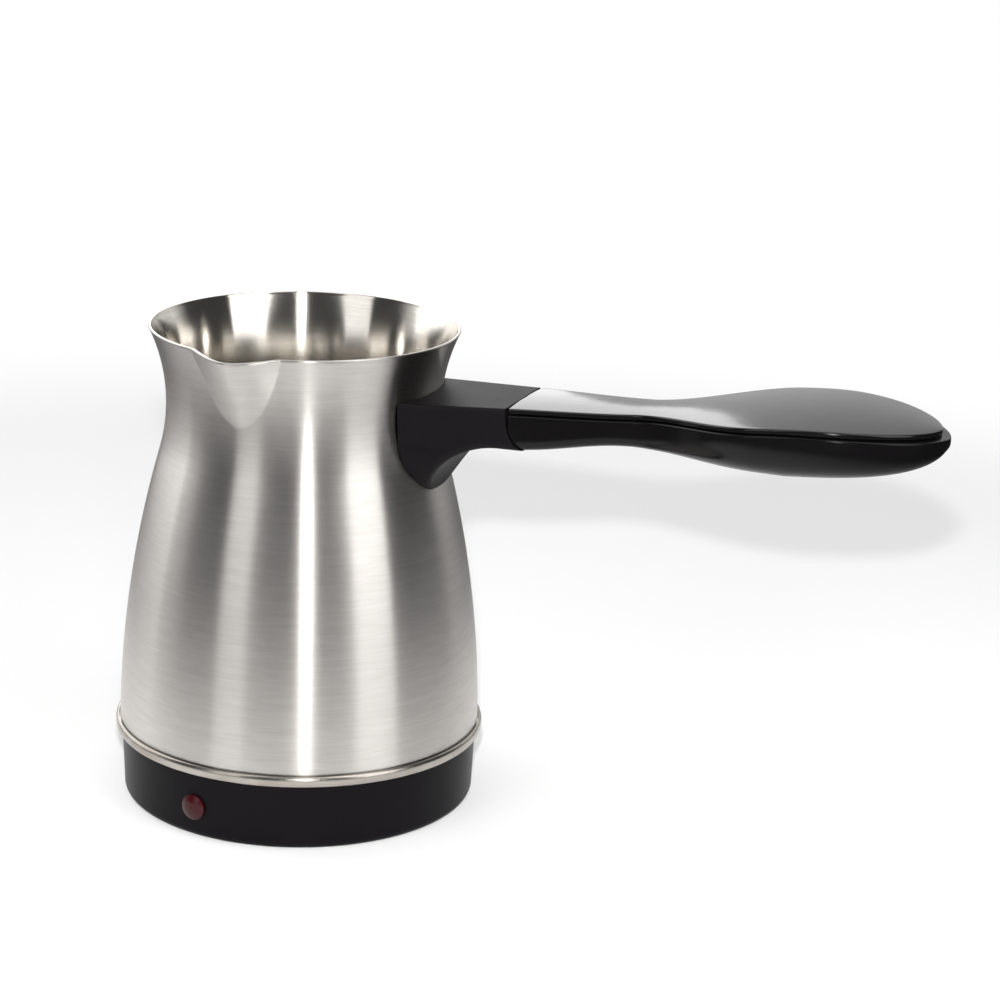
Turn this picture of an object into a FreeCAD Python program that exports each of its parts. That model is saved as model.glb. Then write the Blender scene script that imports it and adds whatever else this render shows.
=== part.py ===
import FreeCAD, Part
import math
import os
import re
import Sketcher

# Electric turkish coffee pot: a waisted steel vessel on a heated base, with a fold-down handle.
# Millimetres. The origin is on the vessel's axis at the surface that the base stands on.
# +Z is up, +X runs along the handle, and the pouring lip is close to -Y.

Vector = FreeCAD.Vector
Rotation = FreeCAD.Rotation
Placement = FreeCAD.Placement
UP = Vector(0, 0, 1)

doc = FreeCAD.newDocument("CoffeePot")
sheet = doc.addObject("Spreadsheet::Sheet", "Sizes")

SIZES = {
    "vessel": {
        "rim_height": 131, "rim_flare": 50, "neck_radius": 36.95, "neck_height_drop": 21.5,
        "belly_curve": 296, "foot_radius": 49.4, "floor_height": 19.6, "foot_corner": 2.2,
        "sheet_wall": 0.7,
    },
    "pouring lip": {
        "lip_angle": -92, "lip_tip_height_drop": 20, "lip_reach": 4.9, "lip_half_width": 11.9,
        "lip_dip_angle": 12, "lip_dip_reach": 3.5,
    },
    "trim ring": {
        "bead_reach": 1.2, "bead_below": 1.2, "bead_above": 1.8, "ring_flange": 1,
        "ring_width": 5.4, "vessel_gap": 0.25,
    },
    "base": {
        "base_step": 0.5, "base_taper": 0.7, "base_wall": 4.1, "base_foot_round": 2.2,
        "web_below": 7, "web_thickness": 2, "web_width": 12.8, "seal_below": 2.4,
        "seal_step": 0.6, "seal_width": 1.8, "cover_recess": 1.2, "cover_thickness": 2,
        "cover_gap": 0.2, "cover_screw_inset": 4.5, "cover_boss_radius": 3.4,
        "cover_screw_angle": 45, "cover_screw_radius": 1.15, "cover_screw_length": 8,
        "cover_head_radius": 2.7, "cover_head_height": 1, "vent_circle": 20, "vent_radius": 1.5,
    },
    "heater": {
        "plate_inset": 8.4, "plate_thickness": 3, "element_inset": 16, "element_radius": 3.2,
        "element_gap_angle": 44, "element_pin_radius": 1.2, "element_pin_length": 7,
        "collar_length": 2, "stud_inset": 4, "stud_radius": 2, "stud_length": 8.6,
        "stud_angle": 0, "nut_height": 3.2, "nut_radius": 3.9, "tag_radius": 4,
        "tag_thickness": 0.8, "tag_length": 7.5, "tag_width": 4.8,
    },
    "cut-outs": {
        "thermostat_radius": 8, "thermostat_height": 10, "cap_height": 3, "ear_length": 4,
        "ear_width": 6, "blade_length": 4, "blade_width": 6.4, "blade_drop": 1.6,
        "metal_thickness": 0.8, "fuse_radius": 2, "fuse_length": 11, "fuse_circle": 14.5,
        "fuse_angle": 45, "fuse_leg_radius": 0.5, "fuse_leg_length": 3.5,
    },
    "lamp": {
        "lamp_angle": -99.8, "lamp_height": 8.8, "lens_radius": 3.5, "lens_shank": 2.9,
        "lens_crown": 0.9, "lens_rim": 0.6, "neon_radius": 2, "neon_length": 12,
    },
    "supply": {
        "gland_height": 7.9, "gland_bore": 3, "gland_shank": 3.9, "gland_flange": 5.6,
        "gland_flange_thickness": 1.6, "gland_lip": 0.6, "block_width": 20, "block_depth": 8,
        "block_drop": 8, "block_gap": 1.5, "wire_hole_height": 3, "lead_radius": 0.9,
    },
    "handle bracket": {
        "foot_half_width": 16.4, "shield_radius": 15.3, "shield_height_drop": 25.2,
        "horn_radius": 21, "horn_x": 60.5, "bracket_top_drop": 13.8, "bracket_round": 1.2,
        "bracket_low_round": 2.2, "bracket_gap": 0.15,
        "saddle_wall": 1.5, "saddle_half_angle": 13, "saddle_bottom_drop": 32,
        "saddle_top_drop": 16, "tongue_half_width": 4.5, "tongue_bottom_drop": 19,
        "tongue_thickness": 2, "tongue_end": 56, "screw_x": 51, "screw_radius": 2,
        "screw_head": 3.6, "screw_head_height": 2.2, "screw_floor_drop": 23.4,
        "screw_top_drop": 15.1,
    },
    "hinge": {
        "pivot_height_drop": 15.5, "knuckle_share": 1.2, "knuckle_step": 0.36, "seam_gap": 0.5,
        "pin_radius": 1.5, "pin_half_length": 11, "pin_clearance": 0.05,
        "lug_half_width": 5, "lug_end": 46, "lug_bottom_drop": 21.6, "lug_top_drop": 14.6,
        "lug_nose_top_drop": 15.4, "lug_eye": 2.4, "lug_clearance": 0.15,
        "washer_thickness": 0.4, "fork_gap": 5.6, "fork_slot_reach": 5.5, "bridge_step": 0.8,
        "bridge_length": 3, "bridge_thickness": 1.1,
    },
    "grip": {
        "seam_x": 62.8, "seam_half_width": 13.5, "seam_top_drop": 12.6, "seam_bottom_drop": 23.7,
        "neck_x": 96, "neck_half_width": 9.8, "neck_top_drop": 10.9, "neck_bottom_drop": 19.8,
        "paddle_x": 132, "belly_x": 138, "crest_x": 148, "paddle_half_width": 24.2,
        "paddle_top_drop": 5.6, "belly_bottom_drop": 19.7, "tip_x": 175.4, "neck_corner": 3,
        "paddle_corner": 9.6, "grip_wall": 2.2, "cover_inset": 0.6, "cover_tip_inset": 2.2,
        "cover_edge": 1.7, "cover_groove": 0.5, "cover_crown": 0.035,
    },
    "grip screws": {
        "boss_outer": 4.4, "boss_inner": 2.6, "boss_top_drop": 14.4, "boss_floor": 2.2,
        "boss_gap": 0.1, "pilot_depth": 4.6, "grip_screw_one": 106, "grip_screw_two": 150,
        "grip_screw_radius": 1.3, "grip_screw_length": 6, "grip_head": 2.9,
        "grip_head_height": 1.8,
    },
}

# Sizes that follow from the others. Every size that ends in _drop is a distance below the rim,
# and its name without that ending is the height that it gives.

DERIVED = {
    "bead_radius": "(foot_radius + bead_reach)",
    "bead_bottom": "(floor_height - bead_below)",
    "bead_top": "(floor_height + bead_above)",
    "ring_bore": "(foot_radius - ring_width)",
    "ring_low": "(floor_height - ring_flange)",
    "base_top_radius": "(foot_radius - base_step)",
    "base_foot_radius": "(base_top_radius - base_taper)",
    "base_inner_radius": "(base_top_radius - base_wall)",
    "web_height": "(floor_height - web_below)",
    "web_bore": "(base_inner_radius - web_width)",
    "seal_ledge_height": "(floor_height - seal_below)",
    "seal_inner": "(base_inner_radius - seal_step)",
    "cover_screw_circle": "(base_inner_radius - cover_screw_inset)",
    "cover_top": "(cover_recess + cover_thickness)",
    "plate_radius": "(foot_radius - plate_inset)",
    "plate_low": "(floor_height - plate_thickness)",
    "stud_circle": "(plate_radius - stud_inset)",
    "stud_bottom": "(plate_low - stud_length)",
    "element_loop": "(plate_radius - element_inset)",
    "knuckle_radius": "((pivot_height - seam_bottom) * knuckle_share)",
    "pivot_x": "(seam_x + knuckle_radius + knuckle_step)",
    "fork_slot_end": "(pivot_x + fork_slot_reach)",
    "bridge_start": "(seam_x + bridge_step)",
}


def fill_sheet():
    """Write each size as a plain number with its name as the alias."""
    row = 1
    for heading, values in SIZES.items():
        sheet.set("A%d" % row, heading)
        row += 1
        for name, value in values.items():
            sheet.set("A%d" % row, name)
            sheet.set("B%d" % row, str(value))
            sheet.setAlias("B%d" % row, name)
            row += 1
    doc.recompute()


NAMES = {name for values in SIZES.values() for name in values}


def bound(formula):
    """The formula with each size's name turned into a reference to the sheet."""
    return re.sub(r"[a-z_]+", reference, str(formula))


def reference(word):
    """What stands in a formula for one word: a cell, a formula of cells, or the word itself."""
    name = word.group()
    if name in NAMES:
        return "Sizes." + name
    if name + "_drop" in NAMES:
        return bound("(rim_height - %s_drop)" % name)
    return bound(DERIVED[name]) if name in DERIVED else name


def value(formula):
    """The number that a formula of sizes gives."""
    return float(sheet.evalExpression(bound(formula)))


def bind(thing, **formulas):
    """Bind properties of one object, with __ in a key standing for a dot."""
    for key, formula in formulas.items():
        thing.setExpression(key.replace("__", "."), bound(formula))
    return thing


# Sketches and features

def new_body(name):
    return doc.addObject("PartDesign::Body", name)


def sketch_on(body, role, offset=0):
    """An empty sketch on one of the body's origin planes, moved along its normal."""
    plane = [one for one in body.Origin.OriginFeatures if one.Role == role][0]
    sketch = body.newObject("Sketcher::SketchObject", body.Name + "_sketch")
    sketch.AttachmentSupport = (plane, "")
    sketch.MapMode = "FlatFace"
    if offset:
        bind(sketch, AttachmentOffset__Base__z=offset)
    return sketch


def arc_between(start, end, radius, turn):
    """The short arc from start to end; turn is 1 where it turns left and -1 where right."""
    chord = end - start
    half = chord.Length / 2
    rise = math.sqrt(max(radius * radius - half * half, 0))
    middle = (start + end) * 0.5
    left = Vector(-chord.y, chord.x, 0).normalize()
    centre = middle + left * (rise * turn)
    first, last = (start, end) if turn > 0 else (end, start)
    circle = Part.Circle(centre, UP, radius)
    return Part.ArcOfCircle(circle, circle.parameter(first), circle.parameter(last))


def draw(sketch, *path):
    """Close an outline of lines and arcs. A point is (x, y), or (x, y, radius, turn) where an arc
    of that radius leads to it from the point before."""
    points = [Vector(value(one[0]), value(one[1]), 0) for one in path]
    first = sketch.GeometryCount
    for index, one in enumerate(path):
        start, end = points[index - 1], points[index]
        if len(one) == 2:
            sketch.addGeometry(Part.LineSegment(start, end), False)
        else:
            sketch.addGeometry(arc_between(start, end, value(one[2]), one[3]), False)
    count = len(path)
    for index, one in enumerate(path):
        here = first + index
        after = first + (index + 1) % count
        own_end = 1 if len(one) == 4 and one[3] < 0 else 2
        follower = path[(index + 1) % count]
        next_start = 2 if len(follower) == 4 and follower[3] < 0 else 1
        sketch.addConstraint(Sketcher.Constraint("Coincident", here, own_end, after, next_start))
        fix_point(sketch, here, own_end, one[0], one[1])
        if len(one) == 4:
            number = sketch.addConstraint(Sketcher.Constraint("Radius", here, value(one[2])))
            sketch.setExpression("Constraints[%d]" % number, bound(one[2]))
    return sketch


def fix_point(sketch, edge, end, x, y):
    for kind, formula in (("DistanceX", x), ("DistanceY", y)):
        number = sketch.addConstraint(
            Sketcher.Constraint(kind, -1, 1, edge, end, value(formula)))
        sketch.setExpression("Constraints[%d]" % number, bound(formula))


def ring_sketch(sketch, x, y, radius):
    """One circle with its centre and radius bound."""
    here = sketch.addGeometry(Part.Circle(Vector(value(x), value(y), 0), UP, value(radius)), False)
    fix_point(sketch, here, 3, x, y)
    number = sketch.addConstraint(Sketcher.Constraint("Radius", here, value(radius)))
    sketch.setExpression("Constraints[%d]" % number, bound(radius))
    return sketch


def revolve(body, sketch, angle=360, groove=False):
    kind = "PartDesign::Groove" if groove else "PartDesign::Revolution"
    feature = body.newObject(kind, body.Name + "_turned")
    feature.Profile = sketch
    feature.ReferenceAxis = (sketch, ["V_Axis"])
    feature.Midplane = True
    bind(feature, Angle=angle)
    doc.recompute()
    return feature


def pad(body, sketch, length):
    """Extend the sketch half its length to each side of its plane."""
    feature = body.newObject("PartDesign::Pad", body.Name + "_pad")
    feature.Profile = sketch
    feature.Midplane = True
    bind(feature, Length=length)
    doc.recompute()
    return feature


def cut_through(body, sketch):
    """Cut the sketch right through the body, and check that it took material away."""
    before = body.Shape.Volume
    feature = body.newObject("PartDesign::Pocket", body.Name + "_cut")
    feature.Profile = sketch
    feature.Midplane = True
    feature.Type = 1
    doc.recompute()
    if body.Shape.Volume >= before:
        raise RuntimeError(body.Name + ": a cut took nothing away")
    return feature


def loft(body, sketches, subtract=False):
    kind = "PartDesign::SubtractiveLoft" if subtract else "PartDesign::AdditiveLoft"
    feature = body.newObject(kind, body.Name + "_loft")
    feature.Profile = sketches[0]
    feature.Sections = sketches[1:]
    feature.Ruled = False
    doc.recompute()
    return feature


# Plain solids and booleans

def cylinder(name, radius, height, at=(0, 0, 0), axis=UP):
    """A cylinder that starts at a point, given as three formulas or worked out, and runs along
    an axis."""
    solid = doc.addObject("Part::Cylinder", name)
    solid.Placement = Placement(Vector(0, 0, 0), Rotation(UP, axis))
    bind(solid, Radius=radius, Height=height)
    if isinstance(at, Vector):
        solid.Placement.Base = at
        return solid
    return bind(solid, Placement__Base__x=at[0], Placement__Base__y=at[1],
                Placement__Base__z=at[2])


def box(name, low, size):
    """A box from its low corner and its lengths."""
    solid = doc.addObject("Part::Box", name)
    bind(solid, Length=size[0], Width=size[1], Height=size[2], Placement__Base__x=low[0],
         Placement__Base__y=low[1], Placement__Base__z=low[2])
    return solid


def joined(name, solids):
    result = doc.addObject("Part::MultiFuse", name)
    result.Shapes = solids
    return result


def less(name, solid, tools):
    result = doc.addObject("Part::Cut", name)
    result.Base = solid
    result.Tool = tools[0] if len(tools) == 1 else joined(name + "_tools", tools)
    return result


def grouped(name, solids):
    result = doc.addObject("Part::Compound", name)
    result.Links = solids
    return result


def around(radius, angle):
    """The x and y formulas of a point at an angle on a circle about the vessel's axis."""
    return "(%s) * cos(%s)" % (radius, angle), "(%s) * sin(%s)" % (radius, angle)


def outward(angle):
    turn = math.radians(value(angle))
    return Vector(math.cos(turn), math.sin(turn), 0)


# Vessel

NECK_WALL = ("neck_radius + rim_flare - sqrt(rim_flare ^ 2"
             " - ({z} - neck_height) ^ 2)")


def vessel_profile(body, inset, floor, top):
    """Half section of the vessel: a flat floor, a round corner, the long curve of the belly and
    the tighter curve of the neck, which meet in a tangent."""
    sketch = sketch_on(body, "XZ_Plane")
    corner = "(foot_corner - %s)" % inset
    foot = "(foot_radius - %s)" % inset
    foot_z = "(%s + %s)" % (floor, corner)
    centre = Vector(value("neck_radius + rim_flare"), value("neck_height"), 0)
    flare = value("rim_flare + %s" % inset)
    belly = value("belly_curve - %s" % inset)
    start = Vector(value(foot), value(foot_z), 0)
    join = tangent_point(start, belly, centre, flare)
    top_x = centre.x - math.sqrt(flare ** 2 - (value(top) - centre.y) ** 2)
    belly_circle = Part.Circle(join + (join - centre).normalize() * belly, UP, belly)
    neck_circle = Part.Circle(centre, UP, flare)
    corner_centre = start - Vector(value(corner), 0, 0)
    corner_circle = Part.Circle(corner_centre, UP, value(corner))
    edges = [
        Part.LineSegment(Vector(0, value(floor), 0), Vector(corner_centre.x, value(floor), 0)),
        Part.ArcOfCircle(corner_circle, -math.pi / 2, 0),
        Part.ArcOfCircle(belly_circle, belly_circle.parameter(start), belly_circle.parameter(join)),
        Part.ArcOfCircle(neck_circle, neck_circle.parameter(Vector(top_x, value(top), 0)),
                         neck_circle.parameter(join)),
        Part.LineSegment(Vector(top_x, value(top), 0), Vector(0, value(top), 0)),
        Part.LineSegment(Vector(0, value(top), 0), Vector(0, value(floor), 0)),
    ]
    sketch.addGeometry(edges, False)
    joints = [("Coincident", 0, 2, 1, 1), ("Coincident", 1, 2, 2, 1), ("Tangent", 2, 2, 3, 2),
              ("Coincident", 3, 1, 4, 1), ("Coincident", 4, 2, 5, 1), ("Coincident", 5, 2, 0, 1),
              ("Horizontal", 4), ("Vertical", 5)]
    for joint in joints:
        sketch.addConstraint(Sketcher.Constraint(*joint))
    fix_point(sketch, 0, 1, "0", floor)
    fix_point(sketch, 0, 2, foot + " - " + corner, floor)
    fix_point(sketch, 2, 1, foot, foot_z)
    fix_point(sketch, 3, 3, "neck_radius + rim_flare", "neck_height")
    for edge, formula in ((1, corner), (2, "belly_curve - %s" % inset),
                          (3, "rim_flare + %s" % inset)):
        number = sketch.addConstraint(Sketcher.Constraint("Radius", edge, value(formula)))
        sketch.setExpression("Constraints[%d]" % number, bound(formula))
    number = sketch.addConstraint(Sketcher.Constraint("DistanceY", -1, 1, 4, 1, value(top)))
    sketch.setExpression("Constraints[%d]" % number, bound(top))
    return sketch


def tangent_point(start, belly, centre, flare):
    """Where the belly's arc, which leaves start bulging outward, meets the neck's arc."""
    low, high = -0.5, 0.5
    for _ in range(60):
        lean = (low + high) / 2
        hub = start - Vector(math.cos(lean), math.sin(lean), 0) * belly
        if (hub - centre).Length > belly + flare:
            high = lean
        else:
            low = lean
    return hub + (centre - hub).normalize() * belly


def lip_section(share, inset):
    """One level section of the pouring lip: a conic across the lip's nose, closed inside the
    neck. The lip widens as the square root of the height above its tip, as a pressing does."""
    rise = value("rim_height - lip_tip_height")
    level = value("lip_tip_height") + share * rise
    neck = value(NECK_WALL.format(z=level)) - inset
    half = value("lip_half_width") * math.sqrt(share) - inset * 1.15
    nose = neck + value("lip_reach") * share - inset * 0.25
    side = math.sqrt(neck ** 2 - half ** 2)
    spread = 1.2
    side = nose + (side - nose) * spread
    half = half * spread
    weight = 1 + 1.6 * share
    control = ((1 + weight) * nose - side) / weight
    curve = Part.BezierCurve()
    curve.setPoles([Vector(side, -half, level), Vector(control, 0, level),
                    Vector(side, half, level)])
    curve.setWeight(2, weight)
    back = Part.LineSegment(curve.EndPoint, curve.StartPoint)
    return Part.Wire([curve.toShape(), back.toShape()])


def lip_solid(name, inset, shares):
    """The lip as one smooth loft up through its level sections."""
    solid = doc.addObject("Part::Feature", name)
    solid.Shape = Part.makeLoft([lip_section(share, inset) for share in shares], True, False)
    bind(solid, Placement__Rotation__Angle="lip_angle")
    return solid


def make_vessel():
    outside = new_body("vessel_outside")
    revolve(outside, vessel_profile(outside, "0", "floor_height", "rim_height"))
    inside = new_body("vessel_inside")
    revolve(inside, vessel_profile(inside, "sheet_wall", "(floor_height + sheet_wall)",
                                   "(rim_height + 1)"))
    shares = [0.03, 0.14, 0.32, 0.6, 1]
    lip_outside = lip_solid("lip_outside", 0, shares)
    lip_inside = lip_solid("lip_inside", value("sheet_wall"), [0.05] + shares[1:] + [1.06])
    dip = doc.addObject("Part::Box", "lip_dip")
    bind(dip, Length="4 * lip_reach", Width="2 * neck_radius", Height="2 * lip_reach")
    turn = Rotation(UP, value("lip_angle")) * Rotation(Vector(0, 1, 0), value("lip_dip_angle"))
    x, y = around("neck_radius + lip_dip_reach", "lip_angle")
    corner = Vector(value(x), value(y), value("rim_height"))
    dip.Placement = Placement(corner - turn.multVec(Vector(0, value("neck_radius"), 0)), turn)
    return less("vessel", joined("vessel_solid", [outside, lip_outside]),
                [inside, lip_inside, dip])


# Trim ring and base

def make_trim_ring():
    """A bead that stands out past the base, with a flange clamped under the vessel's floor."""
    body = new_body("trim_ring")
    sketch = sketch_on(body, "XZ_Plane")
    bead_inner = "(foot_radius + vessel_gap)"
    round_over = "((bead_radius - foot_radius - vessel_gap) * 0.8)"
    draw(sketch,
         ("ring_bore", "ring_low"),
         (bead_inner, "ring_low"),
         (bead_inner, "bead_bottom"),
         ("bead_radius - " + round_over, "bead_bottom"),
         ("bead_radius", "bead_bottom + " + round_over, round_over, 1),
         ("bead_radius", "bead_top - " + round_over),
         ("bead_radius - " + round_over, "bead_top", round_over, 1),
         (bead_inner, "bead_top"),
         (bead_inner, "floor_height"),
         ("ring_bore", "floor_height"))
    revolve(body, sketch)
    return body


def make_base_shell():
    """The skirt with its rounded foot, and the web inside that the studs hold."""
    skirt = new_body("base_skirt")
    sketch = sketch_on(skirt, "XZ_Plane")
    web_top = "(web_height + web_thickness)"
    ledge = "(seal_inner - seal_width / 2)"
    draw(sketch,
         ("base_inner_radius", "0"),
         ("base_foot_radius - base_foot_round", "0"),
         ("base_foot_radius", "base_foot_round", "base_foot_round", 1),
         ("base_top_radius", "ring_low"),
         ("seal_inner + seal_width", "ring_low"),
         ("seal_inner + seal_width", "seal_ledge_height"),
         (ledge, "seal_ledge_height"),
         (ledge, web_top),
         ("web_bore", web_top),
         ("web_bore", "web_height"),
         ("base_inner_radius", "web_height"))
    revolve(skirt, sketch)
    bosses = []
    tools = [radial_hole("lamp_hole", "lens_shank + 0.1", "lamp_angle", "lamp_height"),
             radial_hole("gland_hole", "gland_shank + 0.1", "90", "gland_height")]
    for x, y in three_places("cover_screw_circle", "cover_screw_angle"):
        height = "web_height - cover_top"
        bosses.append(cylinder("cover_boss", "cover_boss_radius", height, (x, y, "cover_top")))
        tools.append(cylinder("pilot", "cover_screw_radius + 0.05", height,
                              (x, y, "cover_top")))
    for x, y in three_places("stud_circle", "stud_angle"):
        tools.append(cylinder("stud_hole", "stud_radius + 0.3", "web_thickness * 3",
                              (x, y, "web_height - web_thickness")))
    return less("base_shell", joined("base_solid", [skirt] + bosses), tools)


def three_places(radius, angle):
    """The x and y formulas of three places spread evenly on a circle."""
    return [around(radius, "%s + %d" % (angle, index * 120)) for index in range(3)]


def radial_hole(name, radius, angle, height):
    """A tool that drills the base's wall along a radius."""
    x, y = around("base_inner_radius - base_wall", angle)
    return cylinder(name, radius, "3 * base_wall", (x, y, height), outward(angle))


def make_bottom_cover():
    """The cover in the base's lower rim, with its screw holes and a ring of vents."""
    disc = cylinder("cover_disc", "base_inner_radius - cover_gap", "cover_thickness",
                    (0, 0, "cover_recess"))
    tools = []
    for x, y in three_places("cover_screw_circle", "cover_screw_angle"):
        tools.append(cylinder("cover_hole", "cover_screw_radius + 0.5", "3 * cover_thickness",
                              (x, y, 0)))
        tools.append(cylinder("head_recess", "cover_head_radius + 0.2", "cover_head_height + 0.4",
                              (x, y, "cover_recess - 0.4")))
    for index in range(8):
        x, y = around("vent_circle", "%d" % (index * 45))
        tools.append(cylinder("vent", "vent_radius", "3 * cover_thickness", (x, y, 0)))
    return less("bottom_cover", disc, tools)


def make_bottom_screws():
    screws = []
    for x, y in three_places("cover_screw_circle", "cover_screw_angle"):
        head = cylinder("head", "cover_head_radius", "cover_head_height", (x, y, "cover_recess"))
        shank = cylinder("shank", "cover_screw_radius", "cover_screw_length",
                         (x, y, "cover_recess + cover_head_height"))
        screws.append(joined("bottom_screw", [head, shank]))
    return grouped("bottom_screws", screws)


def make_base_seal():
    body = new_body("base_seal")
    sketch = sketch_on(body, "XZ_Plane")
    draw(sketch,
         ("seal_inner", "seal_ledge_height"),
         ("seal_inner + seal_width - 0.1", "seal_ledge_height"),
         ("seal_inner + seal_width - 0.1", "ring_low"),
         ("seal_inner", "ring_low"))
    revolve(body, sketch)
    return body


# Heater and its cut-outs

def make_heat_plate():
    return cylinder("heat_plate", "plate_radius", "plate_thickness", (0, 0, "plate_low"))


def make_heating_element():
    """A tubular loop brazed under the plate, open at the back where its pins come out."""
    body = new_body("heating_element")
    sketch = sketch_on(body, "XZ_Plane")
    ring_sketch(sketch, "element_loop", "plate_low - element_radius", "element_radius")
    revolve(body, sketch, "360 - element_gap_angle")
    return body


def element_ends():
    """The two ends of the loop: a point and the direction in which the tube runs on."""
    half = value("180 - element_gap_angle / 2")
    height = value("plate_low - element_radius")
    ends = []
    for side in (1, -1):
        out = outward(str(side * half))
        ends.append((out * value("element_loop") + Vector(0, 0, height),
                     Vector(-out.y, out.x, 0) * side))
    return ends


def make_element_pins():
    """A ceramic collar and a connecting pin on each end of the element."""
    pins = []
    for point, along in element_ends():
        collar = cylinder("collar", "element_radius * 0.8", "collar_length", point, along)
        pin = cylinder("pin", "element_pin_radius", "element_pin_length", point, along)
        pins.append(joined("element_pin", [collar, pin]))
    return grouped("element_pins", pins)


def make_mounting_studs():
    studs = []
    for x, y in three_places("stud_circle", "stud_angle"):
        studs.append(cylinder("stud", "stud_radius", "stud_length", (x, y, "stud_bottom")))
    return grouped("mounting_studs", studs)


def make_stud_nuts():
    """Hexagon nuts under the web; the second one also holds the earth tag."""
    nuts = []
    for index, (x, y) in enumerate(three_places("stud_circle", "stud_angle")):
        nut = doc.addObject("Part::Prism", "nut_blank")
        low = "web_height - nut_height" + (" - tag_thickness" if index == 1 else "")
        bind(nut, Circumradius="nut_radius", Height="nut_height", Placement__Base__x=x,
             Placement__Base__y=y, Placement__Base__z=low)
        bore = cylinder("nut_bore", "stud_radius + 0.05", "3 * nut_height",
                        (x, y, "stud_bottom - nut_height"))
        nuts.append(less("nut", nut, [bore]))
    return grouped("stud_nuts", nuts)


def make_earth_tag():
    """A ring tag between the web and one nut, with a blade for the earth lead."""
    x, y = three_places("stud_circle", "stud_angle")[1]
    low = "web_height - tag_thickness"
    ring = cylinder("tag_ring", "tag_radius", "tag_thickness", (x, y, low))
    blade = box("tag_blade", (x, "(%s) - tag_width / 2" % y, low),
                ("tag_length", "tag_width", "tag_thickness"))
    bore = cylinder("tag_bore", "stud_radius + 0.1", "3 * tag_thickness",
                    (x, y, "web_height - 2 * tag_thickness"))
    return less("earth_tag", joined("tag_solid", [ring, blade]), [bore])


def make_thermostat():
    """A snap-disc cut-out: metal cap on the plate, moulded body and two blade terminals."""
    cap = cylinder("cap", "thermostat_radius", "cap_height", (0, 0, "plate_low - cap_height"))
    base = cylinder("case", "thermostat_radius - 1", "thermostat_height - cap_height",
                    (0, 0, "plate_low - thermostat_height"))
    ear = box("ear", ("-thermostat_radius - ear_length", "-ear_width / 2",
                      "plate_low - metal_thickness"),
              ("2 * thermostat_radius + 2 * ear_length", "ear_width", "metal_thickness"))
    blades = box("blades", ("-blade_width / 2", "-thermostat_radius - blade_length",
                            "plate_low - thermostat_height + blade_drop"),
                 ("blade_width", "2 * thermostat_radius + 2 * blade_length",
                  "metal_thickness"))
    return joined("thermostat", [cap, base, ear, blades])


def make_thermal_fuse():
    """A small can held against the plate, with its two legs."""
    along = outward("fuse_angle + 90")
    x, y = around("fuse_circle", "fuse_angle")
    height = "plate_low - fuse_radius - 0.1"
    parts = []
    for radius, length in (("fuse_radius", "fuse_length"),
                           ("fuse_leg_radius", "fuse_length + 2 * fuse_leg_length")):
        start = Vector(value(x), value(y), value(height)) - along * (value(length) / 2)
        parts.append(cylinder("fuse_part", radius, length, start, along))
    return joined("thermal_fuse", parts)


# Lamp and supply

def make_lamp_lens():
    """A domed lens on a hollow shank that pushes through the base's wall."""
    body = new_body("lamp_lens")
    sketch = sketch_on(body, "XZ_Plane")
    wall = "(base_top_radius - 0.2)"
    inner = "base_inner_radius - 0.8"
    crown = "((lens_radius ^ 2 + lens_crown ^ 2) / (2 * lens_crown))"
    draw(sketch,
         ("0", "%s + lens_rim + lens_crown" % wall, crown, 1),
         ("0", "%s - 2 * lens_rim" % wall),
         ("neon_radius + 0.1", "%s - 2 * lens_rim" % wall),
         ("neon_radius + 0.1", inner),
         ("lens_shank", inner),
         ("lens_shank", wall),
         ("lens_radius", wall),
         ("lens_radius", "%s + lens_rim" % wall))
    revolve(body, sketch)
    body.Placement = Placement(Vector(0, 0, 0), Rotation(UP, outward("lamp_angle")))
    return bind(body, Placement__Base__z="lamp_height")


def make_neon_lamp():
    """A glow lamp whose nose stands in the lens's shank."""
    x, y = around("base_inner_radius + 0.7 - neon_length", "lamp_angle")
    return cylinder("neon_lamp", "neon_radius", "neon_length", (x, y, "lamp_height"),
                    outward("lamp_angle"))


def make_cord_gland():
    """The bush that the supply cord would pass through, snapped into the back of the wall."""
    body = new_body("cord_gland")
    sketch = sketch_on(body, "XZ_Plane")
    outer = "(base_top_radius - 0.1)"
    face = "(%s + gland_flange_thickness)" % outer
    inner = "(base_inner_radius - 0.4)"
    end = "(base_inner_radius - 0.4 - 2 * gland_lip)"
    draw(sketch,
         ("gland_bore", end),
         ("gland_shank", end),
         ("gland_shank + gland_lip", inner),
         ("gland_shank", inner),
         ("gland_shank", outer),
         ("gland_flange", outer),
         ("gland_flange - 2 * gland_lip", face),
         ("gland_bore", face))
    revolve(body, sketch)
    body.Placement = Placement(Vector(0, 0, 0), Rotation(UP, Vector(0, 1, 0)))
    return bind(body, Placement__Base__z="gland_height")


def make_terminal_block():
    """A moulded block under the web, with three wire holes across it."""
    block = box("block", ("-block_width / 2", "web_bore + block_gap", "web_height - block_drop"),
                ("block_width", "block_depth", "block_drop"))
    holes = []
    for index in range(3):
        x = "block_width / 3 * (%d - 1)" % index
        holes.append(cylinder("wire_hole", "lead_radius + 0.3", "2 * block_depth",
                              (x, "web_bore", "web_height - block_drop + wire_hole_height"),
                              Vector(0, 1, 0)))
    return less("terminal_block", block, holes)


# Handle bracket and what holds it

def seam_points(shift):
    """The seam between bracket and grip, moved along the handle by a shift: a straight face at
    the top, then a round knuckle about the hinge pin."""
    radius = "(knuckle_radius - (%s))" % shift
    top = ("seam_x + (%s)" % shift, "seam_top + 8")
    turn_in = ("pivot_x - sqrt(%s ^ 2 - 1)" % radius, "pivot_height - 1")
    return radius, top, turn_in


def knuckle_x(radius, z):
    return "pivot_x - sqrt(%s ^ 2 - (pivot_height - (%s)) ^ 2)" % (radius, z)


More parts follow.
